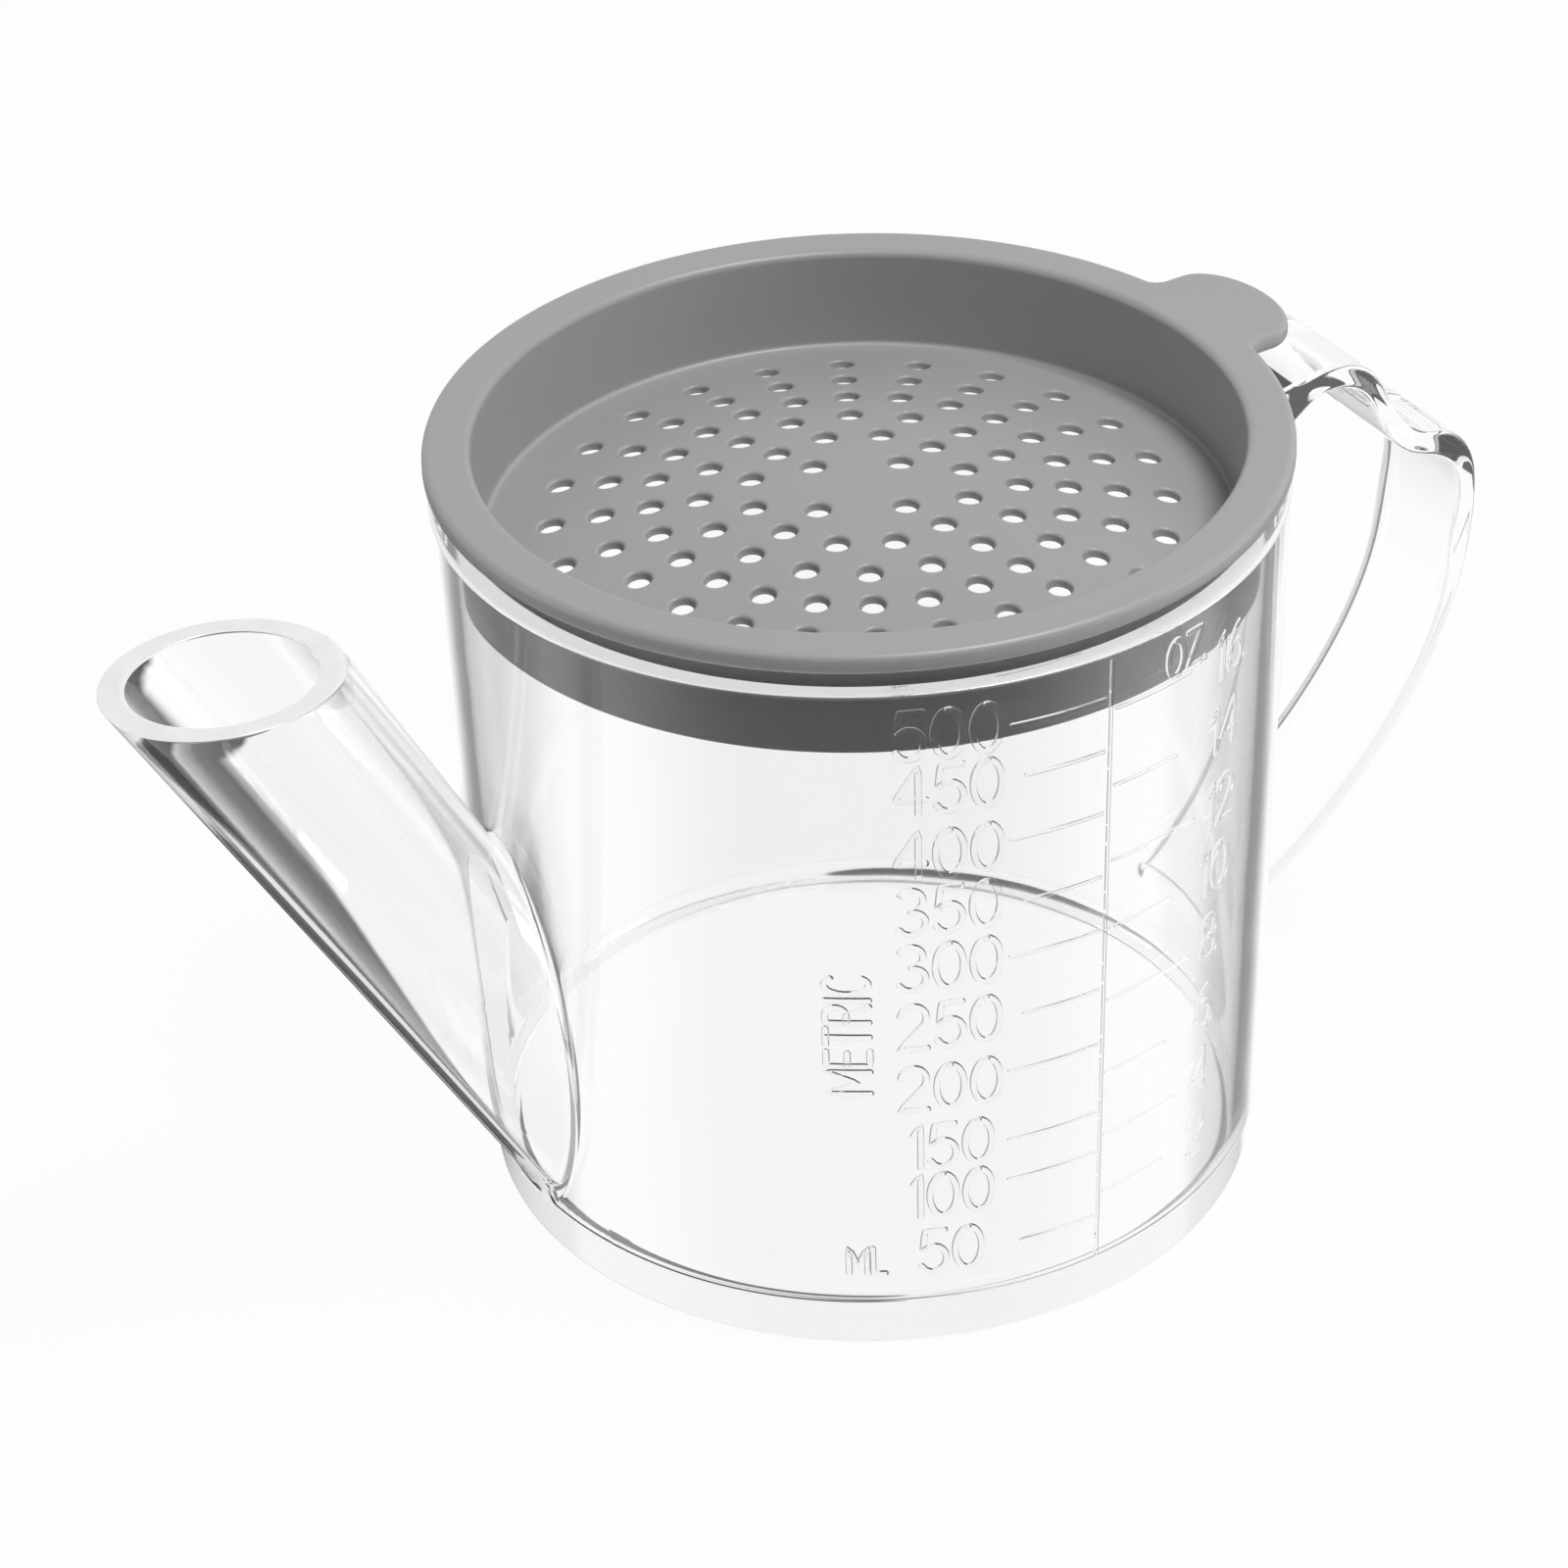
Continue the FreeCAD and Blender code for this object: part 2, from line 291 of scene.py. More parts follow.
class StrainerSizes(bpy.types.PropertyGroup):
    """Sizes of the strainer lid."""

    rim_radius: length("Rim radius", "Outer radius of the rim", 48.3)
    rim_top: length("Rim height", "Height of the rim's top above the table", 92.9)
    rim_thickness: length("Rim thickness", "Thickness of the rim and the tab", 2.4)
    rounding: length("Rounding", "Radius of the rim's edges", 0.9)
    plug_radius: length("Plug radius", "Outer radius of the basket under the rim", 45.25)
    plug_corner: length("Plug corner", "Radius between the basket and the rim", 0.15)
    rim_flat: length("Rim flat", "Width of the round band under the rim, next to the basket", 0.3)
    basket_low: length("Basket foot", "Height of the basket's lowest edge", 79.3)
    basket_wall: length("Basket wall", "Thickness of the basket's wall", 2.4)
    basket_draft: angle("Basket draft", "Taper of the basket", 2.6)
    basket_edge: length("Basket edge", "Radius of the inner edge of the basket's foot", 0.2)
    floor_corner: length("Floor corner", "Radius between the floor and the basket's wall", 0.5)
    floor_band: length("Floor band", "Width of the floor's turned outer band", 0.8)
    dome_rise: length("Dome rise", "Rise of the floor from its edge to its middle", 5.0)
    dome_thickness: length("Dome thickness", "Thickness of the floor", 1.0)
    floor_recess: length("Floor recess", "Height of the floor's underside above the basket's foot", 0.5)
    hole_radius: length("Hole radius", "Radius of a drain hole at its lower end", 1.25)
    hole_top: length("Hole top", "Radius of a drain hole at its upper end", 1.4)
    hole_edge: length("Hole edge", "Radius of the rounded edge of a drain hole", 0.45)
    tab_azimuth: angle("Tab azimuth", "Direction of the thumb tab", 183.4)
    tab_half_width: length("Tab half width", "Half the width of the tab", 9.0)
    tab_centre: length("Tab centre", "Middle of the tab's rounded end from the axis", 51.0)
    tab_reach: length("Tab reach", "Reach of the tab's rounded end past its middle", 5.5)
    tab_notch: length("Tab notch", "Radius of the hollow where the tab meets the rim", 1.6)


class ScaleSizes(bpy.types.PropertyGroup):
    """Sizes of the raised scale on the cup."""

    line_azimuth: angle("Line azimuth", "Direction of the upright line", 93.2)
    line_low: length("Line foot", "Height of the upright line's lower end", 6.8)
    line_top: length("Line top", "Height of the upright line's upper end", 86.8)
    mark_gap: angle("Mark gap", "Turn between the upright line and the marks", 0.9)
    long_mark: angle("Long mark", "Direction of the far end of a long metric mark", 79.1)
    short_mark: angle("Short mark", "Direction of the far end of a short metric mark", 81.1)
    metric_azimuth: angle("Metric azimuth", "Direction of the middle of the metric numerals", 70.9)
    numeral_height: length("Numeral height", "Height of the numerals", 5.8)
    mark_stroke: length("Mark stroke", "Width of the raised lines", 0.45)
    stroke: length("Stroke", "Width of the raised characters' strokes", 0.8)
    relief: length("Relief", "Height of the scale above the wall", 0.18)
    root: length("Root", "Depth of the scale's foot inside the wall", 0.12)
    step: length("Step", "Longest step along a stroke", 0.6)


class Finishes(bpy.types.PropertyGroup):
    """Colours and finishes."""

    clear_tint: colour("Clear tint", "Colour of the clear plastic", (0.99, 0.99, 0.99))
    clear_ior: factor("Clear IOR", "Index of refraction of the clear plastic", 1.5)
    scale_ior: factor("Scale IOR", "Index of refraction of the scale, whose foot lies in the wall", 1.22)
    clear_roughness: factor("Clear roughness", "Roughness of the clear plastic where it is cleanest", 0.015)
    # Share of milky plastic at the sawn mouth and of its painted glow; the clear lip also takes part of it as
    # painted light
    edge_frost_and_glow: factor("Edge frost", "Share of milky plastic at the sawn mouth", 0.8)
    # Painted glow: emission of the milky plastic that stands in for the light the clear walls carry to it
    painted_edge_glow: factor("Edge glow", "Light that the milky plastic scatters from inside the walls", 0.14)
    guided_light: factor("Guided light", "Brightness of light that the walls guide from end to end", 0.92)
    grey: colour("Strainer grey", "Colour of the strainer", (0.40, 0.40, 0.40))
    grey_roughness: factor("Strainer roughness", "Roughness of the strainer where it is smoothest", 0.34)


class StageSettings(bpy.types.PropertyGroup):
    """Light and paper of the studio.

    Bearings are turns about +Z from the direction in which the camera looks, positive to its left.
    Slopes are angles below the horizon, and their softness and slant are in units of their sine.
    """

    floor: colour("Floor", "Colour of the floor", (0.9, 0.9, 0.9))
    floor_glow: factor("Floor glow", "Share of plain white in the floor", 0.96)
    card_start: angle("Card start", "Bearing at which the grey side cards start", 27.0)
    card_end: angle("Card end", "Bearing at which the grey side cards end", 70.0)
    card_top: angle("Card top", "Slope at which the grey side cards start", 14.0)
    card_level: factor("Card level", "Brightness of the side cards", 0.28)
    low_card_start: angle("Low card start", "Bearing at which the dark card on the table starts", 9.8)
    low_card_end: angle("Low card end", "Bearing at which the dark card on the table ends", 75.0)
    low_card_top: angle("Low card top", "Slope at which the dark card on the table starts", 33.9)
    low_card_slant: FloatProperty(
        name="Low card slant", description="Turn of the low card's start for each unit of slope", default=-0.8
    )
    low_card_level: factor("Low card level", "Brightness of the low card", 0.06)
    front_start: angle("Front start", "Bearing at which the dim front of the room starts", 122.0)
    front_level: factor("Front level", "Brightness of the room's front in clear and glossy surfaces", 0.25)
    front_light: factor("Front light", "Brightness of the room's front on matt surfaces in the jug", 0.05)
    card_edge: angle("Card edge", "Softness of the edges of the side cards", 5.0)
    low_card_edge: angle("Low card edge", "Softness of the edges of the low card", 0.7)
    front_edge: angle("Front edge", "Softness of the edge of the dim front", 25.0)
    world_strength: factor("World strength", "Brightness of the even light", 0.12)


# -------------------- Shapes as arrays --------------------


def unit(vectors):
    """Vectors divided by their lengths."""
    return vectors / np.linalg.norm(vectors, axis=-1, keepdims=True)


def rounded(corners, steps=6):
    """Profile through (radius, height, rounding) corners as an array of points.

    Each rounded corner is an arc tangent to both of its legs. It starts and ends on them, at
    rounding / tan(half the corner's angle) from the corner, with one extra point on each leg near it.
    """
    points = np.array([corner[:2] for corner in corners], float)
    profile = [points[:1]]
    for index in range(1, len(corners) - 1):
        corner, rounding = points[index], corners[index][2]
        if not rounding:
            profile.append(corner[None])
            continue
        back = unit(points[index - 1] - corner)
        ahead = unit(points[index + 1] - corner)
        half = math.acos(np.clip(back @ ahead, -1, 1)) / 2
        reach = rounding / math.tan(half)
        centre = corner + unit(back + ahead) * rounding / math.sin(half)
        first, last = corner + back * reach - centre, corner + ahead * reach - centre
        sweep = math.pi - 2 * half
        share = np.linspace(0, 1, steps + 1)[:, None]
        arc = (np.sin((1 - share) * sweep) * first + np.sin(share * sweep) * last) / math.sin(sweep)
        before, after = corner + back * (reach + SUPPORT), corner + ahead * (reach + SUPPORT)
        profile += [before[None], centre + arc, after[None]]
    profile.append(points[-1:])
    return np.concatenate(profile)


def turned(profile, azimuths):
    """Grid (rows, columns, 3) of a (radius, height) profile turned to every azimuth, in radians."""
    radius, height = profile[:, :1], profile[:, 1:]
    return np.stack([radius * np.cos(azimuths), radius * np.sin(azimuths), height + 0 * azimuths], axis=-1)


def spline(points):
    """Natural cubic spline through 2-D points, as a function of the share 0..1 of the way in points.

    The second derivatives m solve h0 m0 + 2 (h0 + h1) m1 + h1 m2 = 6 (slope1 - slope0) on the chord
    lengths h.
    """
    points = np.asarray(points, float)
    steps = np.linalg.norm(np.diff(points, axis=0), axis=1)
    knots = np.concatenate([[0], np.cumsum(steps)])
    slopes = np.diff(points, axis=0) / steps[:, None]
    inner = len(points) - 2
    system = np.diag(2 * (steps[:-1] + steps[1:])) + np.diag(steps[1:-1], 1) + np.diag(steps[1:-1], -1)
    bends = np.zeros_like(points)
    bends[1:-1] = np.linalg.solve(system, 6 * np.diff(slopes, axis=0))

    def at(share):
        share = np.asarray(share, float)
        place = np.interp(share * (inner + 1), np.arange(inner + 2), knots)
        cell = np.clip(np.searchsorted(knots, place, side="right") - 1, 0, inner)
        step = steps[cell]
        low = ((knots[cell + 1] - place) / step)[..., None]
        high = ((place - knots[cell]) / step)[..., None]
        square = (step ** 2 / 6)[..., None]
        return (
            low * points[cell] + high * points[cell + 1]
            + ((low ** 3 - low) * bends[cell] + (high ** 3 - high) * bends[cell + 1]) * square
        )

    return at


def graded(stops, steps):
    """Values from the first stop to the last, with so many even steps from each stop to the next."""
    return np.interp(np.arange(sum(steps) + 1), np.cumsum([0, *steps]), stops)


def halving(inside, outer, inner):
    """For every line, the parameter where it passes into a wall, between one outside and one inside."""
    for _ in range(HALVINGS):
        middle = (outer + inner) / 2
        within = inside(middle)
        inner = np.where(within, middle, inner)
        outer = np.where(within, outer, middle)
    return (outer + inner) / 2


def bend(start, corner, end, steps=FILLET_STEPS):
    """Rows of a quadratic Bezier from start to end that leaves and arrives towards their corner."""
    share = np.linspace(0, 1, steps + 1)[:, None, None]
    return (1 - share) ** 2 * start + 2 * share * (1 - share) * corner + share ** 2 * end


def between(start, end, shares):
    """Rows between two curves, straight from one to the other, at the given shares of the way."""
    shares = np.asarray(shares)[:, None, None]
    return (1 - shares) * start + shares * end


def in_scene(name, data):
    """A new object of the scene."""
    thing = bpy.data.objects.new(name, data)
    bpy.context.scene.collection.objects.link(thing)
    return thing


class Skin:
    """Grids of points, each closed on itself from its last column to its first, that become one mesh."""

    def __init__(self):
        self.points = []
        self.faces = []
        self.frost = []
        self.count = 0

    def add(self, grid, keep=None, frost=0.0):
        """Adds a (..., rows, columns, 3) grid, or only the cells of it that are kept.

        Frost, 0 to 1, one value or one for each row, says how milky the surface is, and how much painted
        glow it gives off.
        """
        index = np.arange(grid[..., 0].size).reshape(grid.shape[:-1]) + self.count
        self.count += index.size
        index = np.concatenate([index, index[..., :1]], axis=-1)
        low, high = index[..., :-1, :], index[..., 1:, :]
        quads = np.stack([low[..., :-1], low[..., 1:], high[..., 1:], high[..., :-1]], axis=-1)
        self.points.append(grid.reshape(-1, 3))
        self.frost.append(np.broadcast_to(np.reshape(frost, (-1, 1)), grid.shape[:-1]).ravel())
        self.faces.append(quads[keep] if keep is not None else quads.reshape(-1, 4))

    def zip(self, outside, inside):
        """Joins two rings of different counts by triangles.

        Both rings' points are taken in the order of their bearing. Each one makes a triangle with the
        point before it on its own ring and the one before it on the other.
        """
        points = np.concatenate([outside, inside])
        order = np.argsort(np.mod(np.arctan2(points[:, 1], points[:, 0]), 2 * np.pi), kind="stable")
        place = np.arange(len(order))
        before = []
        for own in (order < len(outside), order >= len(outside)):
            latest = np.maximum.accumulate(np.where(own, place, -1))
            latest = np.where(latest < 0, place[own][-1], latest)
            before.append(order[np.roll(latest, 1)])
        self.points.append(points)
        self.frost.append(np.zeros(len(points)))
        self.faces.append(np.stack([*before, order], axis=1) + self.count)
        self.count += len(points)

    def piece(self, name, body, slot):
        """The mesh, its doubled points merged and its faces turned outwards, as a piece of the object."""
        mesh = bpy.data.meshes.new(name)
        faces = [face for block in self.faces for face in block.tolist()]
        mesh.from_pydata(np.concatenate(self.points), [], faces)
        # The frost attribute marks the milky sawn edges with their painted glow, and the clear lip's painted
        # light
        mesh.attributes.new("frost", "FLOAT", "POINT").data.foreach_set("value", np.concatenate(self.frost))
        shell = bmesh.new()
        shell.from_mesh(mesh)
        bmesh.ops.remove_doubles(shell, verts=shell.verts, dist=MERGE_DISTANCE)
        bmesh.ops.dissolve_degenerate(shell, edges=shell.edges, dist=MERGE_DISTANCE / 4)
        bmesh.ops.recalc_face_normals(shell, faces=shell.faces)
        open_edges = sum(not edge.is_manifold for edge in shell.edges)
        shell.to_mesh(mesh)
        shell.free()
        if open_edges:
            raise RuntimeError(f"{name} isn't closed: {open_edges} open edges")
        mesh.shade_smooth()
        mesh.set_sharp_from_angle(angle=SHARP_EDGE)
        piece = in_scene(name, mesh)
        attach(piece, body)
        return piece


# -------------------- Walls with windows --------------------


class Wall:
    """A turned wall, addressed by azimuth in radians and by distance along its profile."""

    def __init__(self, profile):
        self.radii, self.heights = profile.T
        self.distances = np.concatenate([[0], np.cumsum(np.linalg.norm(np.diff(profile, axis=0), axis=1))])

    def at(self, places):
        """Points (..., 3) at (azimuth, distance) places (..., 2)."""
        azimuth, distance = places[..., 0], places[..., 1]
        radius = np.interp(distance, self.distances, self.radii)
        height = np.interp(distance, self.distances, self.heights)
        return np.stack([radius * np.cos(azimuth), radius * np.sin(azimuth), height], axis=-1)


def border(azimuths, rows):
    """Closed border of a window as (azimuth, distance) places, from its first column and row.

    It runs along the first row, then the last column, then back. Rows in falling order give the
    border of a window that hangs the other way up.
    """
    columns, depth = len(azimuths) - 1, len(rows) - 1
    sides = [
        (azimuths[:-1], np.full(columns, rows[0])),
        (np.full(depth, azimuths[-1]), rows[:-1]),
        (azimuths[:0:-1], np.full(columns, rows[-1])),
        (np.full(depth, azimuths[0]), rows[:0:-1]),
    ]
    return np.concatenate([np.stack(side, axis=1) for side in sides])


def swollen(curve, radius, distance):
    """A closed curve of wall places moved outwards by a distance along the wall."""
    flat = curve * [radius, 1]
    along = np.roll(flat, -1, axis=0) - np.roll(flat, 1, axis=0)
    outwards = unit(np.stack([along[:, 1], -along[:, 0]], axis=1))
    following = np.roll(flat, -1, axis=0)
    turn = np.sign(np.sum(flat[:, 0] * following[:, 1] - flat[:, 1] * following[:, 0]))
    return (flat + outwards * turn * np.reshape(distance, (-1, 1))) / [radius, 1]


def fan(azimuths, middle, columns):
    """The azimuths of a window of so many columns on either side of its middle one, and their indices."""
    centre = int(np.argmin(np.abs(azimuths - middle)))
    index = np.arange(centre - columns, centre + columns + 1)
    return azimuths[index], index


def wall_with_windows(skin, wall, azimuths, rows, windows):
    """Adds a turned wall, leaving out the cells of each (column indices, row indices) window."""
    keep = np.ones((len(rows) - 1, len(azimuths)), bool)
    for columns, depth in windows:
        keep[depth[0]:depth[-1], columns[0]:columns[-1]] = False
    places = np.stack(np.meshgrid(azimuths, rows), axis=-1)
    skin.add(wall.at(places), keep=keep)


def outer_radius(jug, height):
    """Radius of the cup's outer wall: the lip's, less the depth below the lip times the draft's tangent."""
    return jug.lip_radius - (jug.height - height) * math.tan(jug.draft)


# -------------------- Clear jug --------------------


def spout_ray(jug, turn, distance, radius):
    """Points of a round tube along the spout: its axis, plus the radius turned about it.

    Turn 0 is the underside of the spout. Distance is measured from the mouth, negative downwards.
    """
    tilt = jug.spout_tilt
    axis = np.array([math.sin(tilt), 0, math.cos(tilt)])
    under = np.array([math.cos(tilt), 0, -math.sin(tilt)])
    side = np.array([0, 1, 0])
    mouth = np.array([jug.mouth_x, 0, jug.mouth_z])
    across = np.cos(turn)[:, None] * under + np.sin(turn)[:, None] * side
    return mouth + distance[:, None] * axis + np.reshape(radius, (-1, 1)) * across


def level_cut(jug, turn, radius):
    """Edge of a tube of the spout at its level mouth."""
    return spout_ray(jug, turn, radius * np.cos(turn) * math.tan(jug.spout_tilt), radius)


def spout_curve(jug, turn, wall_radius, radius_at):
    """Where the rays of a tube along the spout meet a drafted wall, as (azimuth, height)."""
    near, far = (np.full(turn.shape, -distance) for distance in SPOUT_MEETS)

    def inside(distance):
        point = spout_ray(jug, turn, distance, radius_at(distance))
        return np.hypot(point[:, 0], point[:, 1]) < wall_radius(point[:, 2])

    distance = halving(inside, near, far)
    point = spout_ray(jug, turn, distance, radius_at(distance))
    return np.stack([np.arctan2(point[:, 1], point[:, 0]), point[:, 2]], axis=1)


def facing(curve, surround, radius):
    """Share 0..1 round a closed curve at which each point of a surrounding border faces it."""
    ways = [(line - curve.mean(axis=0)) * [radius, 1] for line in (curve, surround)]
    own, other = (np.unwrap(np.arctan2(way[:, 1], way[:, 0])) for way in ways)
    full = np.concatenate([own - 2 * np.pi, own, own + 2 * np.pi])
    share = np.arange(len(own)) / len(own)
    shares = np.concatenate([share - 1, share, share + 1])
    return np.interp(np.mod(other - own[0], 2 * np.pi) + own[0], full, shares)


def add_branch_patch(skin, wall, window, edge, rows=PATCH_ROWS):
    """Fills the wall between a window's border and the curve that a branch leaves in it.

    Its rows draw closer together towards the curve, as 1 - (1 - share) ** 1.5.
    """
    shares = 1 - (1 - np.linspace(0, 1, rows)) ** 1.5
    skin.add(wall.at(between(window, edge, shares)))


def spout_root(jug, outer, turn):
    """Places of the spout's root on the outer wall.

    It is squeezed upwards by its crown's share of the way, so that its lowest point clears the shoulder.
    """
    taper = math.tan(jug.spout_draft)
    curve = spout_curve(
        jug, turn,
        wall_radius=lambda height: outer_radius(jug, height),
        radius_at=lambda distance: jug.spout_radius + distance * taper,
    )
    azimuth, height = curve.T
    crown = height.max()
    squeeze = (crown - jug.shoulder_height - jug.spout_root) / (crown - height.min())
    rise = crown - (crown - height) * squeeze - outer.heights[0]
    return np.stack([azimuth, rise / math.cos(jug.draft)], axis=1)


def bore_opening(jug, inner, turn):
    """Places of the bore's edge on the inner wall; below the wall they run round the floor's corner."""
    curve = spout_curve(
        jug, turn,
        wall_radius=lambda height: outer_radius(jug, height) - jug.wall,
        radius_at=lambda distance: jug.bore_radius,
    )
    azimuth, height = curve.T
    corner_end, corner_top = inner.distances[CORNER_END], inner.heights[CORNER_END]
    up = corner_end + (height - corner_top) / math.cos(jug.draft)
    depth = (corner_top - height) / (corner_top - height.min())
    down = corner_end - depth * CORNER_SHARE * math.pi / 2 * jug.floor_corner
    return np.stack([azimuth, np.where(height > corner_top, up, down)], axis=1)


def add_spout(skin, jug, outer, window, inner, bore_window):
    """The spout's tube: its patch and fillet, outside, level mouth and bore, and the bore's patch in the cup.

    Its long lines run straight from the root to the level mouth, and one for each point of the window's
    border. The roundings are Bezier bends from line to line.
    """
    even = np.linspace(0, 2 * np.pi, ROOT_PLACES, endpoint=False)
    mean_radius = outer_radius(jug, ROOT_MIDDLE)
    turn = facing(spout_root(jug, outer, even), window, mean_radius) * 2 * np.pi
    root = spout_root(jug, outer, turn)
    fillet_edge = swollen(root, mean_radius, np.minimum(jug.spout_fillet, FILLET_SHARE * root[:, 1]))
    add_branch_patch(skin, outer, window, fillet_edge)

    start, mouth = outer.at(root), level_cut(jug, turn, jug.spout_radius)
    way = unit(mouth - start)
    foot, below = start + way * jug.spout_fillet, mouth - way * jug.edge
    skin.add(bend(outer.at(fillet_edge), start, foot))
    skin.add(between(foot, below, np.linspace(0, 1, SPOUT_ROWS)))

    outer_ring = level_cut(jug, turn, jug.spout_radius - jug.edge)
    middle_ring = level_cut(jug, turn, (jug.spout_radius + jug.bore_radius) / 2)
    inner_ring = level_cut(jug, turn, jug.bore_radius + jug.edge)
    rise = np.linspace(0, 1, FILLET_STEPS + 1)
    # The sawn mouth is milky; its milky shading also carries a painted glow
    skin.add(bend(below, mouth, outer_ring), frost=rise)
    skin.add(np.stack([outer_ring, middle_ring, inner_ring]), frost=1.0)

    hole = bore_opening(jug, inner, turn)
    hole_edge = swollen(hole, mean_radius, jug.edge)
    add_branch_patch(skin, inner, bore_window, hole_edge, CORNER_PATCH_ROWS)
    bore_mouth, bore_end = level_cut(jug, turn, jug.bore_radius), inner.at(hole)
    way = unit(bore_end - bore_mouth)
    bore_top, bore_low = bore_mouth + way * jug.edge, bore_end - way * jug.edge
    skin.add(bend(inner_ring, bore_mouth, bore_top), frost=1 - rise)
    skin.add(between(bore_top, bore_low, np.linspace(0, 1, BORE_ROWS)))
    skin.add(bend(bore_low, bore_end, inner.at(hole_edge)))


def strap_loop():
    """Section of the strap: signs of its half width and half thickness, and the turn of its corners.

    A rounded rectangle is the corner of a smaller one, plus a radius that turns from side to side. It
    starts in the middle of the first corner.
    """
    whole_corner = 2 * CORNER_CELLS
    keys = np.cumsum([
        0, CORNER_CELLS, WIDE_CELLS, whole_corner, NARROW_CELLS,
        whole_corner, WIDE_CELLS, whole_corner, NARROW_CELLS, CORNER_CELLS,
    ])
    place = np.arange(keys[-1])
    turn = np.interp(place, keys, np.radians([225, 270, 270, 360, 360, 450, 450, 540, 540, 585]))
    wide = np.interp(place, keys, [-1, -1, 1, 1, 1, 1, -1, -1, -1, -1])
    thick = np.interp(place, keys, [-1, -1, -1, -1, 1, 1, 1, 1, -1, -1])
    return wide, thick, np.cos(turn), np.sin(turn)


def add_strap(skin, jug, outer, high_window, low_window):
    """The handle strap, a rounded section carried between two splines, with a fillet at each end.

    Every long line of the section runs between its own two points on the cup's wall, found by halving.
    """
    outside, inside_edge = spline(np.array(STRAP_OUTER) * MM), spline(np.array(STRAP_INNER) * MM)
    wide, thick, turn_x, turn_z = strap_loop()
    sideways = -(wide * (jug.strap_width / 2 - jug.strap_edge) + turn_x * jug.strap_edge)

    def line(share):
        """Points of every long line of the strap at its own share of the way."""
        top, under = outside(share), inside_edge(share)
        through = top - under
        thickness = np.linalg.norm(through, axis=-1)
        offset = thick * (thickness / 2 - jug.strap_edge) + turn_z * jug.strap_edge
        place = (top + under) / 2 + through / thickness[..., None] * offset[..., None]
        return np.stack([place[..., 0], sideways + 0 * share, place[..., 1]], axis=-1)

    def within(share):
        point = line(share)
        return np.hypot(point[..., 0], point[..., 1]) < outer_radius(jug, point[..., 2])

    clear_start, clear_end = (np.full(len(wide), share) for share in STRAP_CLEAR)
    first = halving(within, clear_start, 0 * clear_start)
    last = halving(within, clear_end, 0 * clear_end + 1)
    shares = np.linspace(STRAP_EASE, 1 - STRAP_EASE, STRAP_STATIONS)[:, None]
    body = line(first + (last - first) * shares)
    skin.add(body)
    for share, end, window in ((first, body[0], high_window), (last, body[-1], low_window)):
        point = line(share)
        azimuth = np.mod(np.arctan2(point[:, 1], point[:, 0]), 2 * np.pi)
        root = np.stack([azimuth, (point[:, 2] - outer.heights[0]) / math.cos(jug.draft)], axis=1)
        edge = swollen(root, jug.lip_radius, jug.strap_fillet)
        add_branch_patch(skin, outer, window, edge)
        skin.add(bend(outer.at(edge), point, end))


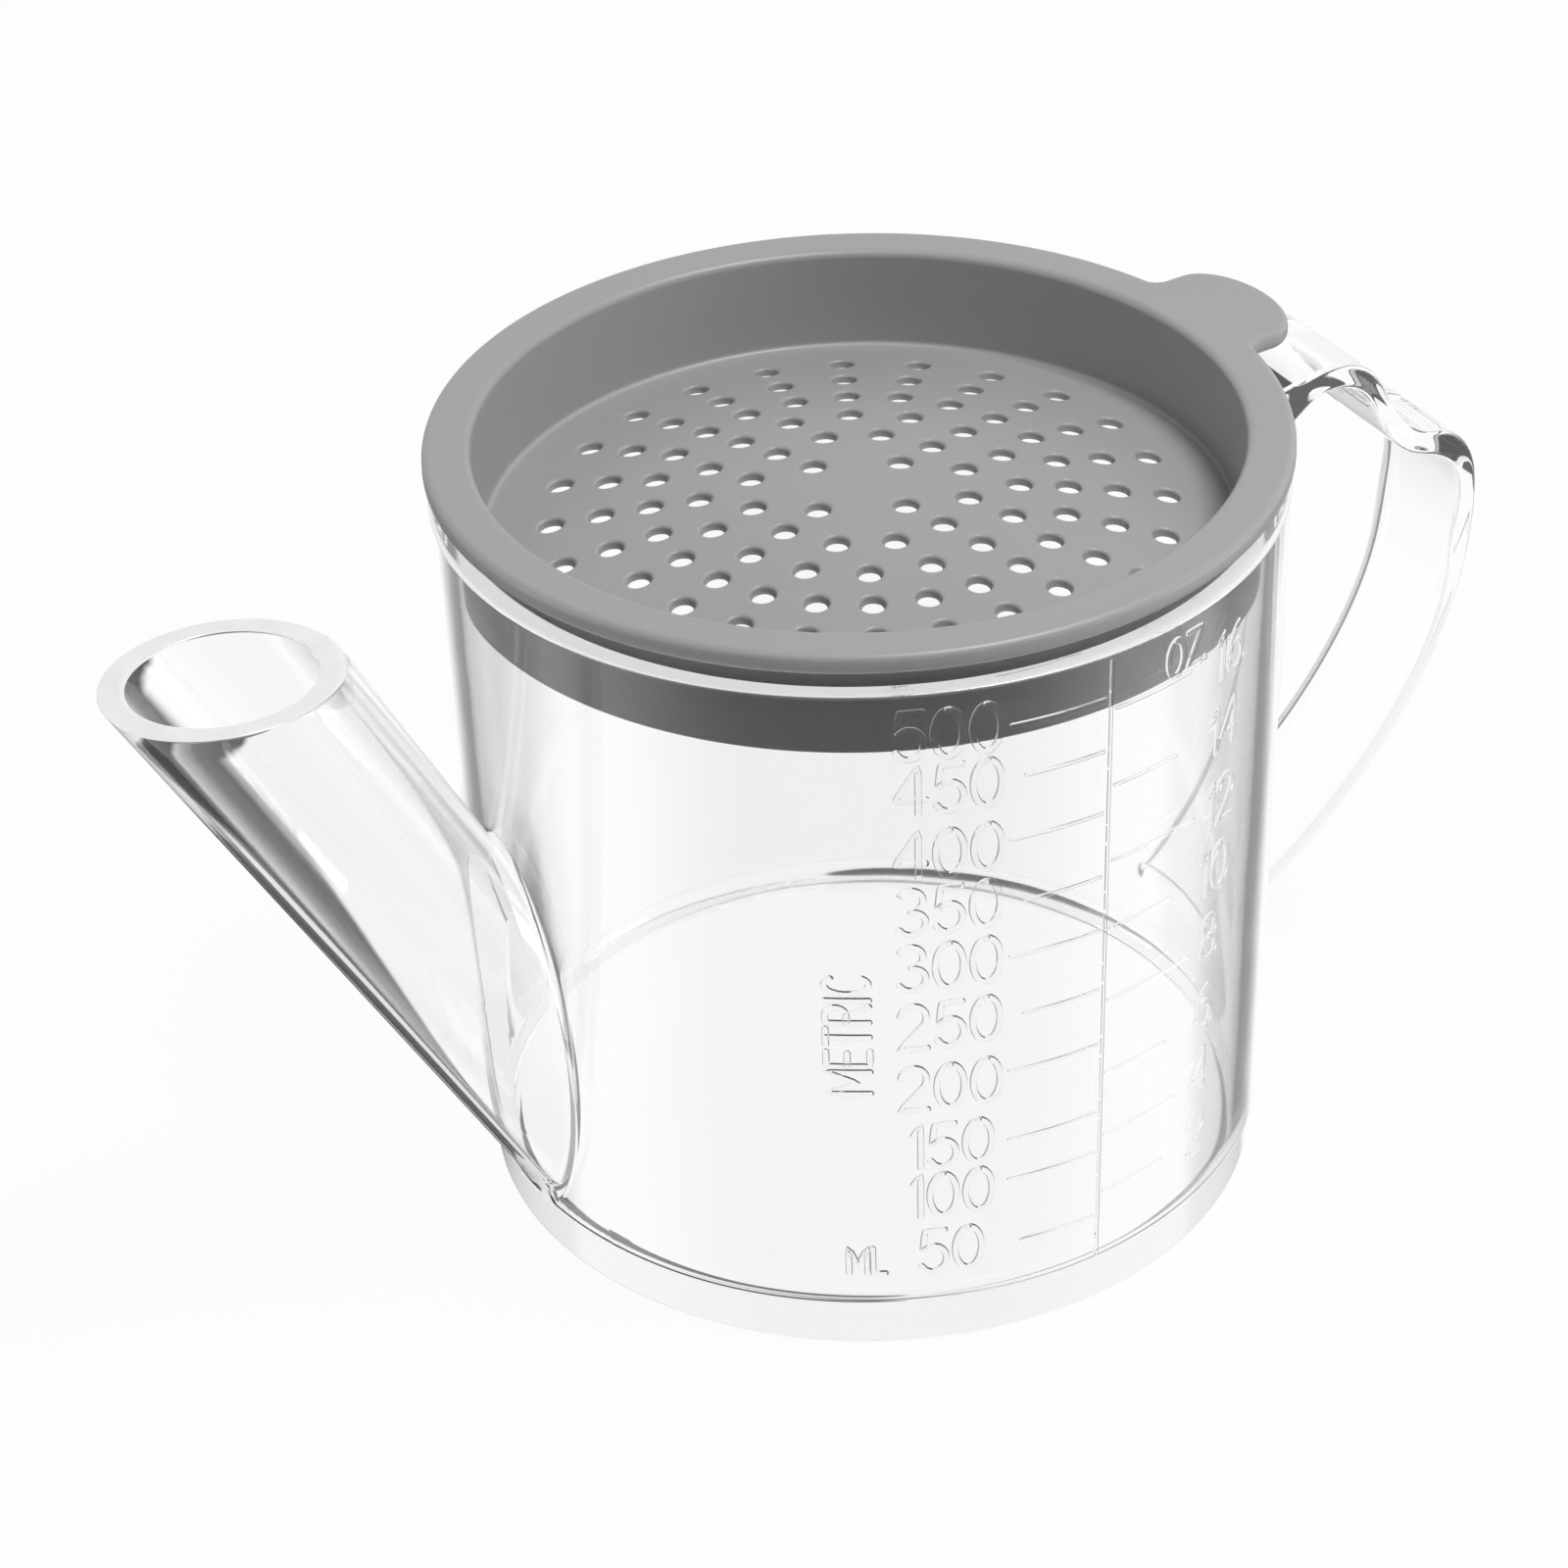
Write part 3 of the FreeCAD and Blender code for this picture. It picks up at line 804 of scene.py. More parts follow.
def build_clear_jug(jug):
    """Cup, spout and strap as one closed skin.

    The cup is a turned wall with windows in it. A patch in each window runs from its border to the
    closed curve where a branch meets the wall, and a fillet turns it up into the branch.
    """
    skin = Skin()
    azimuths = np.radians(FIRST_AZIMUTH + np.arange(CUP_COLUMNS) * 360 / CUP_COLUMNS)
    low, lip_row = jug.shoulder_height + WALL_MARGIN, jug.height - 2 * jug.edge

    # Outer wall, with a window each for the spout and the two ends of the strap
    outer = Wall(np.array([(outer_radius(jug, height), height) for height in (low, lip_row)]))
    heights = graded([low, *(stop * MM for stop in WINDOW_STOPS), lip_row], OUTER_STEPS)
    rows = (heights - low) / math.cos(jug.draft)
    low_start, low_end, spout_end, high_start, top = np.cumsum(OUTER_STEPS)
    spout_azimuths, spout_columns = fan(azimuths, 0.0, SPOUT_COLUMNS)
    strap_azimuths, strap_columns = fan(azimuths, math.pi, STRAP_COLUMNS)
    wall_with_windows(skin, outer, azimuths, rows, [
        (spout_columns, (0, spout_end)),
        (strap_columns, (high_start, top)),
        (strap_columns, (low_start, low_end)),
    ])

    # Inner wall, from the floor over its corner to the lip, with a window for the bore
    inner_radius = outer_radius(jug, jug.floor_top) - jug.wall
    inner_lip = outer_radius(jug, lip_row) - jug.wall
    floor_edge = inner_radius - jug.floor_corner - WALL_MARGIN
    inner = Wall(rounded([
        (floor_edge, jug.floor_top, 0),
        (inner_radius, jug.floor_top, jug.floor_corner),
        (inner_lip, lip_row, 0),
    ], CORNER_STEPS))
    corner_start, corner_end, lip_start = inner.distances[[CORNER_START, CORNER_END, -1]]
    inner_rows = graded([0, corner_start, corner_end, corner_end + BORE_WINDOW, lip_start], INNER_STEPS)
    bore_end = sum(INNER_STEPS[:-1])
    bore_azimuths, bore_columns = fan(azimuths, 0.0, BORE_COLUMNS)
    wall_with_windows(skin, inner, azimuths, inner_rows, [(bore_columns, (0, bore_end))])

    # Floor, underside with the foot, and the lip between the two walls
    floor = np.array([(share * floor_edge, jug.floor_top) for share in FLOOR_SHARES])
    skin.add(turned(floor, azimuths))
    foot = rounded([
        (0, 0, 0),
        (jug.foot_radius, 0, jug.edge),
        (jug.foot_radius, jug.shoulder_height, jug.shoulder_edge),
        (outer_radius(jug, jug.shoulder_height), jug.shoulder_height, jug.shoulder_edge),
        (outer_radius(jug, low), low, 0),
    ])
    skin.add(turned(foot, azimuths))
    lip = rounded([
        (outer_radius(jug, lip_row), lip_row, 0),
        (jug.lip_radius, jug.height, jug.edge),
        (jug.lip_radius - jug.wall, jug.height, jug.edge),
        (inner_lip, lip_row, 0),
    ])
    # Painted light: the clear lip gets a share of milky, glowing shading that stands in for the light its
    # wall carries up
    frost = LIP_PAINTED_GLOW * np.clip((lip[:, 1] - jug.height) / jug.edge + 1, 0, 1)
    skin.add(turned(lip, azimuths), frost=frost)

    # Spout and strap, each in its windows
    spout_window = border(spout_azimuths, rows[:spout_end + 1])
    bore_window = border(bore_azimuths, inner_rows[:bore_end + 1])
    add_spout(skin, jug, outer, spout_window, inner, bore_window)
    high_window = border(strap_azimuths, rows[high_start:])
    low_window = border(strap_azimuths, rows[low_start:low_end + 1][::-1])
    add_strap(skin, jug, outer, high_window, low_window)
    return skin


# -------------------- Strainer --------------------


def lifted(flat, height):
    """Plan points (..., 2) at a height, one for all of them or one for each."""
    return np.concatenate([flat, np.broadcast_to(height, flat.shape[:-1])[..., None]], axis=-1)


def rotated(points, turn):
    """Points turned about Z."""
    spun = points.copy()
    spun[..., 0] = points[..., 0] * math.cos(turn) - points[..., 1] * math.sin(turn)
    spun[..., 1] = points[..., 0] * math.sin(turn) + points[..., 1] * math.cos(turn)
    return spun


def plug_low_radius(strainer):
    """Outer radius of the basket's foot: the plug's, less the basket's depth times its draft's tangent."""
    rim_low = strainer.rim_top - strainer.rim_thickness
    return strainer.plug_radius - (rim_low - strainer.basket_low) * math.tan(strainer.basket_draft)


def floor_radius(strainer):
    """Radius at which the floor meets the basket's wall."""
    return plug_low_radius(strainer) - strainer.basket_wall


def dome_height(strainer, radius, crown):
    """Height of a dome at a radius: its crown less the drop of a sphere through its edge."""
    edge = floor_radius(strainer)
    sphere = (edge ** 2 + strainer.dome_rise ** 2) / (2 * strainer.dome_rise)
    return crown - sphere + np.sqrt(sphere ** 2 - np.asarray(radius) ** 2)


def dome_profile(strainer, radii, crown):
    """Profile of a dome as (radius, height) points."""
    return np.stack([radii, dome_height(strainer, radii, crown)], axis=-1)


def rim_curve(strainer):
    """Closed plan curve (points, 2) of rim and tab, the tab on +X, denser round the tab.

    The rim's circle runs to a hollow arc, the arc to the straight side of the tab, and the side to
    half of an ellipse; the other half mirrors it.
    """
    rim, half, notch = strainer.rim_radius, strainer.tab_half_width, strainer.tab_notch
    hollow_y = half + notch
    hollow_x = math.sqrt((rim + notch) ** 2 - hollow_y ** 2)
    meet = math.atan2(hollow_y, hollow_x)

    def ellipse(start, end, points, middle, reach):
        turn = np.linspace(start, end, points)
        return middle + np.stack([np.cos(turn), np.sin(turn)], axis=1) * reach

    circle = ellipse(math.pi, meet, RIM_POINTS, 0, rim)
    hollow = ellipse(meet + math.pi, 1.5 * math.pi, NOTCH_POINTS, np.array([hollow_x, hollow_y]), notch)
    end = ellipse(math.pi / 2, 0, TAB_POINTS, np.array([strainer.tab_centre, 0]), [strainer.tab_reach, half])
    upper = np.concatenate([circle, hollow[1:], end])
    return np.concatenate([upper, upper[-2:0:-1] * [1, -1]])


def rim_grid(strainer, outline, bowl_radius, basket_radius):
    """Grid over the rim: over its top, round its edge and back under it to the basket.

    The edge is two quarter rounds with a straight side between them, carried along the outline and
    inset along its normal.
    """
    outwards = unit((np.roll(outline, -1, axis=0) - np.roll(outline, 1, axis=0))[:, ::-1] * [-1, 1])
    direction = unit(outline)
    rim_low, radius = strainer.rim_top - strainer.rim_thickness, strainer.rounding
    turn = np.linspace(np.pi / 2, -np.pi / 2, RIM_EDGE_POINTS)
    middle = np.where(turn > 0, strainer.rim_top - radius, rim_low + radius)
    inset = np.concatenate([[radius + SUPPORT], radius * (1 - np.cos(turn)), [radius + SUPPORT]])
    level = np.concatenate([[strainer.rim_top], middle + radius * np.sin(turn), [rim_low]])
    return np.concatenate([
        lifted(direction * bowl_radius, strainer.rim_top)[None],
        lifted(outline - outwards * inset[:, None, None], level[:, None]),
        lifted(direction * basket_radius, rim_low)[None],
    ])


def drain_cell(strainer, crown, radius, count, inner, outer):
    """One cell of a ring of holes, as a closed grid from its upper border through the hole to its lower one.

    Its rows run from the cell's border, in polar coordinates, to a circle round the hole. The hole's
    edge is an arc that meets the hole's taper.
    """
    columns = FLOOR_COLUMNS // count
    half = math.pi / count
    depth = max(LEAST_CELL_ROWS, columns // CELL_COLUMNS_PER_ROW)
    cell = border(np.linspace(-half, half, columns + 1), np.linspace(inner, outer, depth + 1))
    flat = cell[:, 1:] * np.stack([np.cos(cell[:, 0]), np.sin(cell[:, 0])], axis=1)
    middle = np.array([radius, 0])
    bearing = unit(flat - middle)

    def on_dome(spot, level, below=0.0):
        return lifted(spot, dome_height(strainer, np.linalg.norm(spot, axis=-1), level) - below)

    def ring(size, below, level):
        return on_dome(middle + bearing * size, level, below)

    def patch(size, level):
        return on_dome(between(flat, middle + bearing * size, CELL_SHARES), level)

    low = crown - strainer.dome_thickness
    hole, top, edge = strainer.hole_radius, strainer.hole_top, strainer.hole_edge
    taper = math.atan((top - hole) / strainer.dome_thickness)
    arc = np.linspace(0, np.pi / 2 - taper, HOLE_ARC_POINTS)
    return np.concatenate([
        patch(top + edge + HOLE_SUPPORT, crown),
        np.stack([
            *(ring(top + edge * (1 - math.sin(turn)), edge * (1 - math.cos(turn)), crown) for turn in arc),
            ring(top - HOLE_SUPPORT * math.tan(taper), edge + HOLE_SUPPORT, crown),
            ring(hole, -HOLE_SUPPORT, low),
            ring(hole + HOLE_SUPPORT, 0, low),
        ]),
        patch(hole + 2 * HOLE_SUPPORT, low)[::-1],
    ])


def build_strainer(strainer):
    """Rim, basket and drained floor as one closed skin.

    Basket and floor are turned profiles. The floor's drained part is made of cells, one for each hole,
    in bands that lie half way between the rings.
    """
    skin = Skin()
    outline = rim_curve(strainer)
    azimuths = np.arctan2(outline[:, 1], outline[:, 0])
    rim_low = strainer.rim_top - strainer.rim_thickness
    bowl_radius = strainer.plug_radius - strainer.basket_wall
    top_radius = bowl_radius + strainer.rounding + SUPPORT
    under_radius = strainer.plug_radius + strainer.rim_flat
    skin.add(rim_grid(strainer, outline, top_radius, under_radius))

    underside = strainer.basket_low + strainer.floor_recess
    upside = underside + strainer.dome_thickness
    crowns = [level + strainer.dome_rise for level in (upside, underside)]
    edge = floor_radius(strainer)
    upper_band, lower_band = dome_profile(strainer, np.full(2, edge - strainer.floor_band), np.array(crowns))
    bowl = rounded([
        (top_radius, strainer.rim_top, 0),
        (bowl_radius, strainer.rim_top, strainer.rounding),
        (edge, upside, strainer.floor_corner),
        (*upper_band, 0),
    ])
    basket = rounded([
        (under_radius, rim_low, 0),
        (strainer.plug_radius, rim_low, strainer.plug_corner),
        (plug_low_radius(strainer), strainer.basket_low, strainer.rounding),
        (edge, strainer.basket_low, strainer.basket_edge),
        (*lower_band, 0),
    ])
    skin.add(turned(bowl, azimuths))
    skin.add(turned(basket, azimuths))

    even = np.linspace(0, 2 * np.pi, FLOOR_COLUMNS, endpoint=False) + FIRST_HOLE
    for crown in crowns:
        band = dome_profile(strainer, np.linspace(edge - strainer.floor_band, DRAINED_TO, BAND_ROWS), crown)
        skin.add(turned(band[:-1], azimuths))
        skin.zip(turned(band[-2:-1], azimuths)[0], turned(band[-1:], even)[0])
        hub = dome_profile(strainer, np.linspace(0, DRAINED_FROM, HUB_ROWS), crown)
        skin.add(turned(hub, even))
    radii, counts = zip(*HOLE_RINGS)
    radii = np.array(radii) * MM
    limits = np.concatenate([[DRAINED_FROM], (radii[1:] + radii[:-1]) / 2, [DRAINED_TO]])
    for radius, count, inner, outer in zip(radii, counts, limits[:-1], limits[1:]):
        cell = drain_cell(strainer, crowns[0], radius, count, inner, outer)
        turns = FIRST_HOLE + np.arange(count) * 2 * math.pi / count
        skin.add(np.stack([rotated(cell, turn) for turn in turns]))
    skin.points = [rotated(points, strainer.tab_azimuth) for points in skin.points]
    return skin


# -------------------- Scale --------------------


def add_stroke(skin, jug, scale, path, azimuth, height, width):
    """A raised stroke on the wall, along a path in metres about a place on the wall.

    Its section has a flat top and slanted sides, with its foot sunk in the wall. At both ends it
    shrinks by cos(turn) while it runs on by sin(turn) half widths, which rounds them.
    """
    half = width / 2
    path = np.asarray(path, float)
    steps = np.maximum(1, np.ceil(np.linalg.norm(np.diff(path, axis=0), axis=1) / scale.step)).astype(int)
    knots = np.arange(len(path))
    place = graded(knots, steps)
    path = np.stack([np.interp(place, knots, path[:, axis]) for axis in (0, 1)], axis=1)
    turn = np.linspace(0, np.pi / 2, STROKE_END_POINTS)[1:]
    first, last = unit(path[:1] - path[1:2]), unit(path[-1:] - path[-2:-1])
    before = path[:1] + first * half * np.sin(turn[::-1])[:, None]
    after = path[-1:] + last * half * np.sin(turn)[:, None]
    size = np.concatenate([np.cos(turn[::-1]), np.ones(len(path)), np.cos(turn)])[:, None]
    path = np.concatenate([before, path, after])
    along = unit(np.gradient(path, axis=0))
    across = np.stack([-along[:, 1], along[:, 0]], axis=1)
    section = np.array(STROKE_SECTION)
    lift = np.where(section[:, 1] < 0, 0, scale.root + section[:, 1] * scale.relief) * size - scale.root
    flat = path[:, None] + section[:, :1] * across[:, None] * half * size[..., None]
    level = height + flat[..., 1]
    radius = outer_radius(jug, level) + lift
    around = azimuth + flat[..., 0] / jug.lip_radius
    skin.add(np.stack([radius * np.cos(around), radius * np.sin(around), level], axis=-1))


def add_words(skin, jug, scale, words, azimuth, height, size, upright=False):
    """A row of characters in single strokes, centred on a place on the wall."""
    widths = [max(x for stroke in CHARACTERS[letter] for x, _ in stroke) for letter in words]
    starts = np.cumsum([0, *(width + CHARACTER_GAP for width in widths)])
    middle = np.array([(starts[-1] - CHARACTER_GAP) / 2, 0.5])
    for letter, start in zip(words, starts):
        for stroke in CHARACTERS[letter]:
            path = (np.array(stroke) + [start, 0] - middle) * size
            if upright:
                path = np.stack([-path[:, 1], path[:, 0]], axis=1)
            add_stroke(skin, jug, scale, path, azimuth, height, scale.stroke)


def add_mark(skin, jug, scale, start, end):
    """A straight stroke from one (azimuth, height) to another."""
    reach = [(end[0] - start[0]) * jug.lip_radius, end[1] - start[1]]
    add_stroke(skin, jug, scale, [(0, 0), reach], start[0], start[1], scale.mark_stroke)


def build_scale(jug, scale):
    """The scale's lines and marks as one skin, and its numerals and words as another."""
    marks, numerals = Skin(), Skin()
    line, gap = scale.line_azimuth, scale.mark_gap
    add_mark(marks, jug, scale, (line, scale.line_low), (line, scale.line_top))
    for label, height, numeral_height, is_long in METRIC_MARKS:
        far_end = scale.long_mark if is_long else scale.short_mark
        place = scale.metric_azimuth, numeral_height * MM
        add_mark(marks, jug, scale, (far_end, height * MM), (line - gap, height * MM))
        add_words(numerals, jug, scale, label, *place, scale.numeral_height)
    for label, height, numeral_height, far_end, middle in OUNCE_MARKS:
        place = math.radians(middle), numeral_height * MM
        add_mark(marks, jug, scale, (line + gap, height * MM), (math.radians(far_end), height * MM))
        add_words(numerals, jug, scale, label, *place, scale.numeral_height)
    for words, azimuth, height, size, upright in SCALE_WORDS:
        add_words(numerals, jug, scale, words, math.radians(azimuth), height * MM, size * MM, upright)
    return marks, numerals


# -------------------- Materials --------------------


class Number:
    """A shader socket with arithmetic: each expression adds Math nodes."""

    def __init__(self, nodes, socket):
        self.nodes = nodes
        self.socket = socket

    def combine(self, operation, first, second=0.0):
        node = self.nodes.add("ShaderNodeMath", {"operation": operation}, {0: first, 1: second})
        return Number(self.nodes, node.outputs[0])

    def __add__(self, other):
        return self.combine("ADD", self, other)

    __radd__ = __add__

    def __mul__(self, other):
        return self.combine("MULTIPLY", self, other)

    __rmul__ = __mul__

    def __sub__(self, other):
        return self.combine("SUBTRACT", self, other)

    def __rsub__(self, other):
        return self.combine("SUBTRACT", other, self)

    def __gt__(self, other):
        return self.combine("GREATER_THAN", self, other)

    def __abs__(self):
        return self.combine("ABSOLUTE", self)

    def either(self, other):
        """The larger of two numbers."""
        return self.combine("MAXIMUM", self, other)

    def bearing(self, ahead):
        """Angle of the way (ahead, self) from the way ahead."""
        return self.combine("ARCTAN2", self, ahead)


class Nodes:
    """A node tree that is built up in code."""

    def __init__(self, tree):
        self.tree = tree
        self.tree.nodes.clear()

    def add(self, kind, settings=None, inputs=None):
        """A node with its settings, and its sockets set to values or linked to other sockets."""
        node = self.tree.nodes.new(kind)
        for key, value in (settings or {}).items():
            setattr(node, key, value)
        for key, value in (inputs or {}).items():
            value = value.socket if isinstance(value, Number) else value
            if isinstance(value, bpy.types.NodeSocket):
                self.tree.links.new(value, node.inputs[key])
            else:
                node.inputs[key].default_value = value
        return node

    def noise(self, scale, detail=2.0, stretch=(1.0, 1.0, 1.0)):
        """Noise on the piece's own coordinates, in cycles per metre."""
        place = self.add("ShaderNodeTexCoord").outputs["Object"]
        mapping = self.add("ShaderNodeMapping", None, {"Vector": place, "Scale": stretch})
        inputs = {"Vector": mapping.outputs[0], "Scale": scale, "Detail": detail}
        return Number(self, self.add("ShaderNodeTexNoise", None, inputs).outputs["Fac"])

    def ramp(self, value, start, end, low=0.0, high=1.0):
        """Value that runs smoothly from low to high as another one runs from start to end."""
        inputs = {0: value, 1: start, 2: end, 3: low, 4: high}
        node = self.add("ShaderNodeMapRange", {"interpolation_type": "SMOOTHSTEP"}, inputs)
        return Number(self, node.outputs[0])

    def bump(self, height, strength, distance):
        inputs = {"Height": height, "Strength": strength, "Distance": distance}
        return self.add("ShaderNodeBump", None, inputs).outputs[0]

    def tint(self, share, low, high):
        """Grey or coloured tone that runs from low to high with a share."""
        mix = self.add("ShaderNodeMix", {"data_type": "RGBA"}, {0: share, 6: (*low, 1.0), 7: (*high, 1.0)})
        return mix.outputs[2]

    def principled(self, inputs):
        return self.add("ShaderNodeBsdfPrincipled", None, inputs)

    def mixed(self, share, first, second):
        """A shader that goes from the first to the second with a share."""
        return self.add("ShaderNodeMixShader", None, {0: share, 1: first.outputs[0], 2: second.outputs[0]})

    def ray(self, output):
        """What the Light Path node says of the ray."""
        return Number(self, self.add("ShaderNodeLightPath").outputs[output])

    def optical(self):
        """1 for a ray that a clear or glossy surface sent on, otherwise 0."""
        return self.ray("Is Transmission Ray").either(self.ray("Is Glossy Ray"))

    def output(self, shader, kind="ShaderNodeOutputMaterial"):
        self.add(kind, None, {"Surface": shader.outputs[0]})


def new_material(name):
    """A material, and its empty node tree."""
    material = bpy.data.materials.new(name)
    material.use_nodes = True
    return material, Nodes(material.node_tree)


def clear_plastic(name, finishes, ior):
    """Clear moulded plastic: faint flow ripples, fine scuffs in its gloss, and milky sawn edges.

    The milky shading of the sawn edges carries a painted glow, and the clear lip is given the same milky,
    glowing shading as painted light. Light that the walls guide from end to end passes more surfaces than a
    render follows, so after a number of bounces it is taken as an even glow.
    """
    material, nodes = new_material(name)
    scuffs = nodes.noise(scale=900.0, detail=6.0, stretch=(1.0, 1.0, 0.35))
    ripples = nodes.noise(scale=60.0)
    clear = nodes.principled({
        "Base Color": (*finishes.clear_tint, 1.0),
        "Roughness": scuffs * 0.02 + finishes.clear_roughness,
        "IOR": ior,
        "Transmission Weight": 1.0,
        "Normal": nodes.bump(ripples, strength=0.04, distance=0.0004),
    })
    # Milky plastic of the sawn mouth; its emission is a painted glow, and on the clear lip all of it is
    # painted light
    streaks = nodes.noise(scale=260.0, detail=5.0)
    milky_and_glow = nodes.principled({
        "Base Color": nodes.tint(streaks, (0.72, 0.72, 0.72), (0.9, 0.9, 0.9)),
        "Roughness": 0.35,
        "Emission Color": nodes.tint(streaks, [finishes.painted_edge_glow * 0.8] * 3, [finishes.painted_edge_glow * 1.2] * 3),
        "Emission Strength": 1.0,
    })
    # The frost attribute mixes in the milky shading with its painted glow
    frost = Number(nodes, nodes.add("ShaderNodeAttribute", {"attribute_name": "frost"}).outputs["Fac"])
    wall = nodes.mixed(frost * finishes.edge_frost_and_glow, clear, milky_and_glow)
    guided = (nodes.ray("Glossy Depth") > GUIDED_BOUNCES).either(nodes.ray("Ray Depth") > GUIDED_DEPTH)
    glow = nodes.add("ShaderNodeEmission", None, {"Strength": finishes.guided_light})
    nodes.output(nodes.mixed(guided, wall, glow))
    return material


def grey_plastic(name, finishes):
    """Satin moulded plastic: a fine grain, with cloudy gloss and colour."""
    material, nodes = new_material(name)
    clouds = nodes.noise(scale=45.0, detail=4.0)
    grain = nodes.noise(scale=4200.0, detail=3.0)
    grey = tuple(finishes.grey)
    nodes.output(nodes.principled({
        "Base Color": nodes.tint(clouds, [part * 0.94 for part in grey], [part * 1.06 for part in grey]),
        "Roughness": clouds * 0.12 + finishes.grey_roughness,
        "Normal": nodes.bump(grain, strength=0.12, distance=0.00006),
    }))
    return material


# -------------------- Stage --------------------


def add_floor(stage):
    """A pale floor that goes on to the horizon. Clear and glossy surfaces show the world in its place."""
    mesh = bpy.data.meshes.new("floor")
    corners = [(x * FLOOR_HALF, y * FLOOR_HALF, FLOOR_LEVEL) for x, y in ((-1, -1), (1, -1), (1, 1), (-1, 1))]
    mesh.from_pydata(corners, [], [(0, 1, 2, 3)])
    material, nodes = new_material("floor")
    paper = nodes.add("ShaderNodeBsdfDiffuse", None, {"Color": (*stage.floor, 1.0)})
    white = nodes.add("ShaderNodeEmission", None, {"Strength": 1.0})
    shown = nodes.mixed(nodes.ray("Is Camera Ray") * stage.floor_glow, paper, white)
    nodes.output(nodes.mixed(nodes.optical(), shown, nodes.add("ShaderNodeBsdfTransparent")))
    mesh.materials.append(material)
    floor = in_scene("floor", mesh)


def room_light(nodes, stage):
    """Brightness of the room that clear and glossy surfaces see: white, less its cards and its dim front.

    A grey card stands on either side of the camera's way, and a dark one lies on the table to its left.
    The front of the room, behind the camera, is dimmer still on matt surfaces inside the jug.
    """
    way = nodes.add("ShaderNodeTexCoord").outputs["Generated"]

    def along(direction):
        dot = nodes.add("ShaderNodeVectorMath", {"operation": "DOT_PRODUCT"}, {0: way, 1: direction})
        return Number(nodes, dot.outputs["Value"])

    def from_edge(value, start, softness):
        """Runs from 0 to 1 across an edge."""
        return nodes.ramp(value, start - softness, start + softness)

    def to_edge(value, end, softness):
        """Runs from 1 to 0 across an edge."""
        return nodes.ramp(value, end - softness, end + softness, 1.0, 0.0)

    sine, cosine = math.sin(CAMERA_AZIMUTH), math.cos(CAMERA_AZIMUTH)
    bearing = along((sine, -cosine, 0.0)).bearing(along((-cosine, -sine, 0.0)))
    aside = abs(bearing)
    slope = along((0.0, 0.0, -1.0))

    sides = from_edge(aside, stage.card_start, stage.card_edge)
    sides = sides * to_edge(aside, stage.card_end, stage.card_edge)
    sides = sides * from_edge(slope, math.sin(stage.card_top), stage.card_edge)
    low_top = math.sin(stage.low_card_top)
    low_start = stage.low_card_start + (slope - low_top) * stage.low_card_slant
    low = from_edge(bearing - low_start, 0.0, stage.low_card_edge)
    low = low * to_edge(aside, stage.low_card_end, stage.card_edge)
    low = low * from_edge(slope, low_top, stage.low_card_edge)
    front = from_edge(aside, stage.front_start, stage.front_edge) * nodes.ramp(slope, *FRONT_FADE)
    matt = nodes.ray("Diffuse Depth") > 0.5
    cards = (sides * (1.0 - stage.card_level)).either(low * (1.0 - stage.low_card_level))
    return 1.0 - cards - front * (1.0 - stage.front_level + matt * (stage.front_level - stage.front_light))


def add_world(stage):
    """White to the camera, an even light to matt surfaces, and the room to clear and glossy ones."""
    world = bpy.data.worlds.new("studio")
    bpy.context.scene.world = world
    world.use_nodes = True
    nodes = Nodes(world.node_tree)

    def background(strength):
        return nodes.add("ShaderNodeBackground", None, {"Color": (1.0, 1.0, 1.0, 1.0), "Strength": strength})

    lit = nodes.mixed(nodes.optical(), background(stage.world_strength), background(room_light(nodes, stage)))
    nodes.output(nodes.mixed(nodes.ray("Is Camera Ray"), lit, background(1.0)), "ShaderNodeOutputWorld")


def add_lamp(name, place, size, power):
    """A square lamp that faces the object."""
    lamp = bpy.data.lights.new(name, "AREA")
    lamp.size = size
    lamp.energy = power
    holder = in_scene(name, lamp)
    holder.location = place
    holder.rotation_euler = (LAMP_AIM - holder.location).to_track_quat("-Z", "Y").to_euler()


def add_camera():
    """The camera, at its distance from the point that it looks at."""
    data = bpy.data.cameras.new("camera")
    data.lens = CAMERA_LENS
    data.sensor_width = CAMERA_SENSOR
    data.clip_start = 0.01
    data.clip_end = 50.0
    camera = in_scene("camera", data)
    level, rise = math.cos(CAMERA_ELEVATION), math.sin(CAMERA_ELEVATION)
    back = Vector((math.cos(CAMERA_AZIMUTH) * level, math.sin(CAMERA_AZIMUTH) * level, rise))
    turn = (-back).to_track_quat("-Z", "Y").to_matrix() @ Matrix.Rotation(CAMERA_ROLL, 3, "Z")
    camera.matrix_world = Matrix.Translation(CAMERA_TARGET + back * CAMERA_DISTANCE) @ turn.to_4x4()
    bpy.context.scene.camera = camera


# -------------------- Operators and panel --------------------


class JUG_OT_clear_jug(bpy.types.Operator):
    """Build the clear moulding: cup, spout and handle"""

    bl_idname = "jug.clear_jug"
    bl_label = "Clear Jug"

    def execute(self, context):
        finishes = context.scene.jug_finishes
        piece = build_clear_jug(context.scene.jug_sizes).piece("clear_jug", "jug", "clear_plastic")
        piece.data.materials.append(clear_plastic("clear_plastic", finishes, finishes.clear_ior))
        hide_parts("jug_cup", "pouring_spout", "carry_handle")
        return {"FINISHED"}


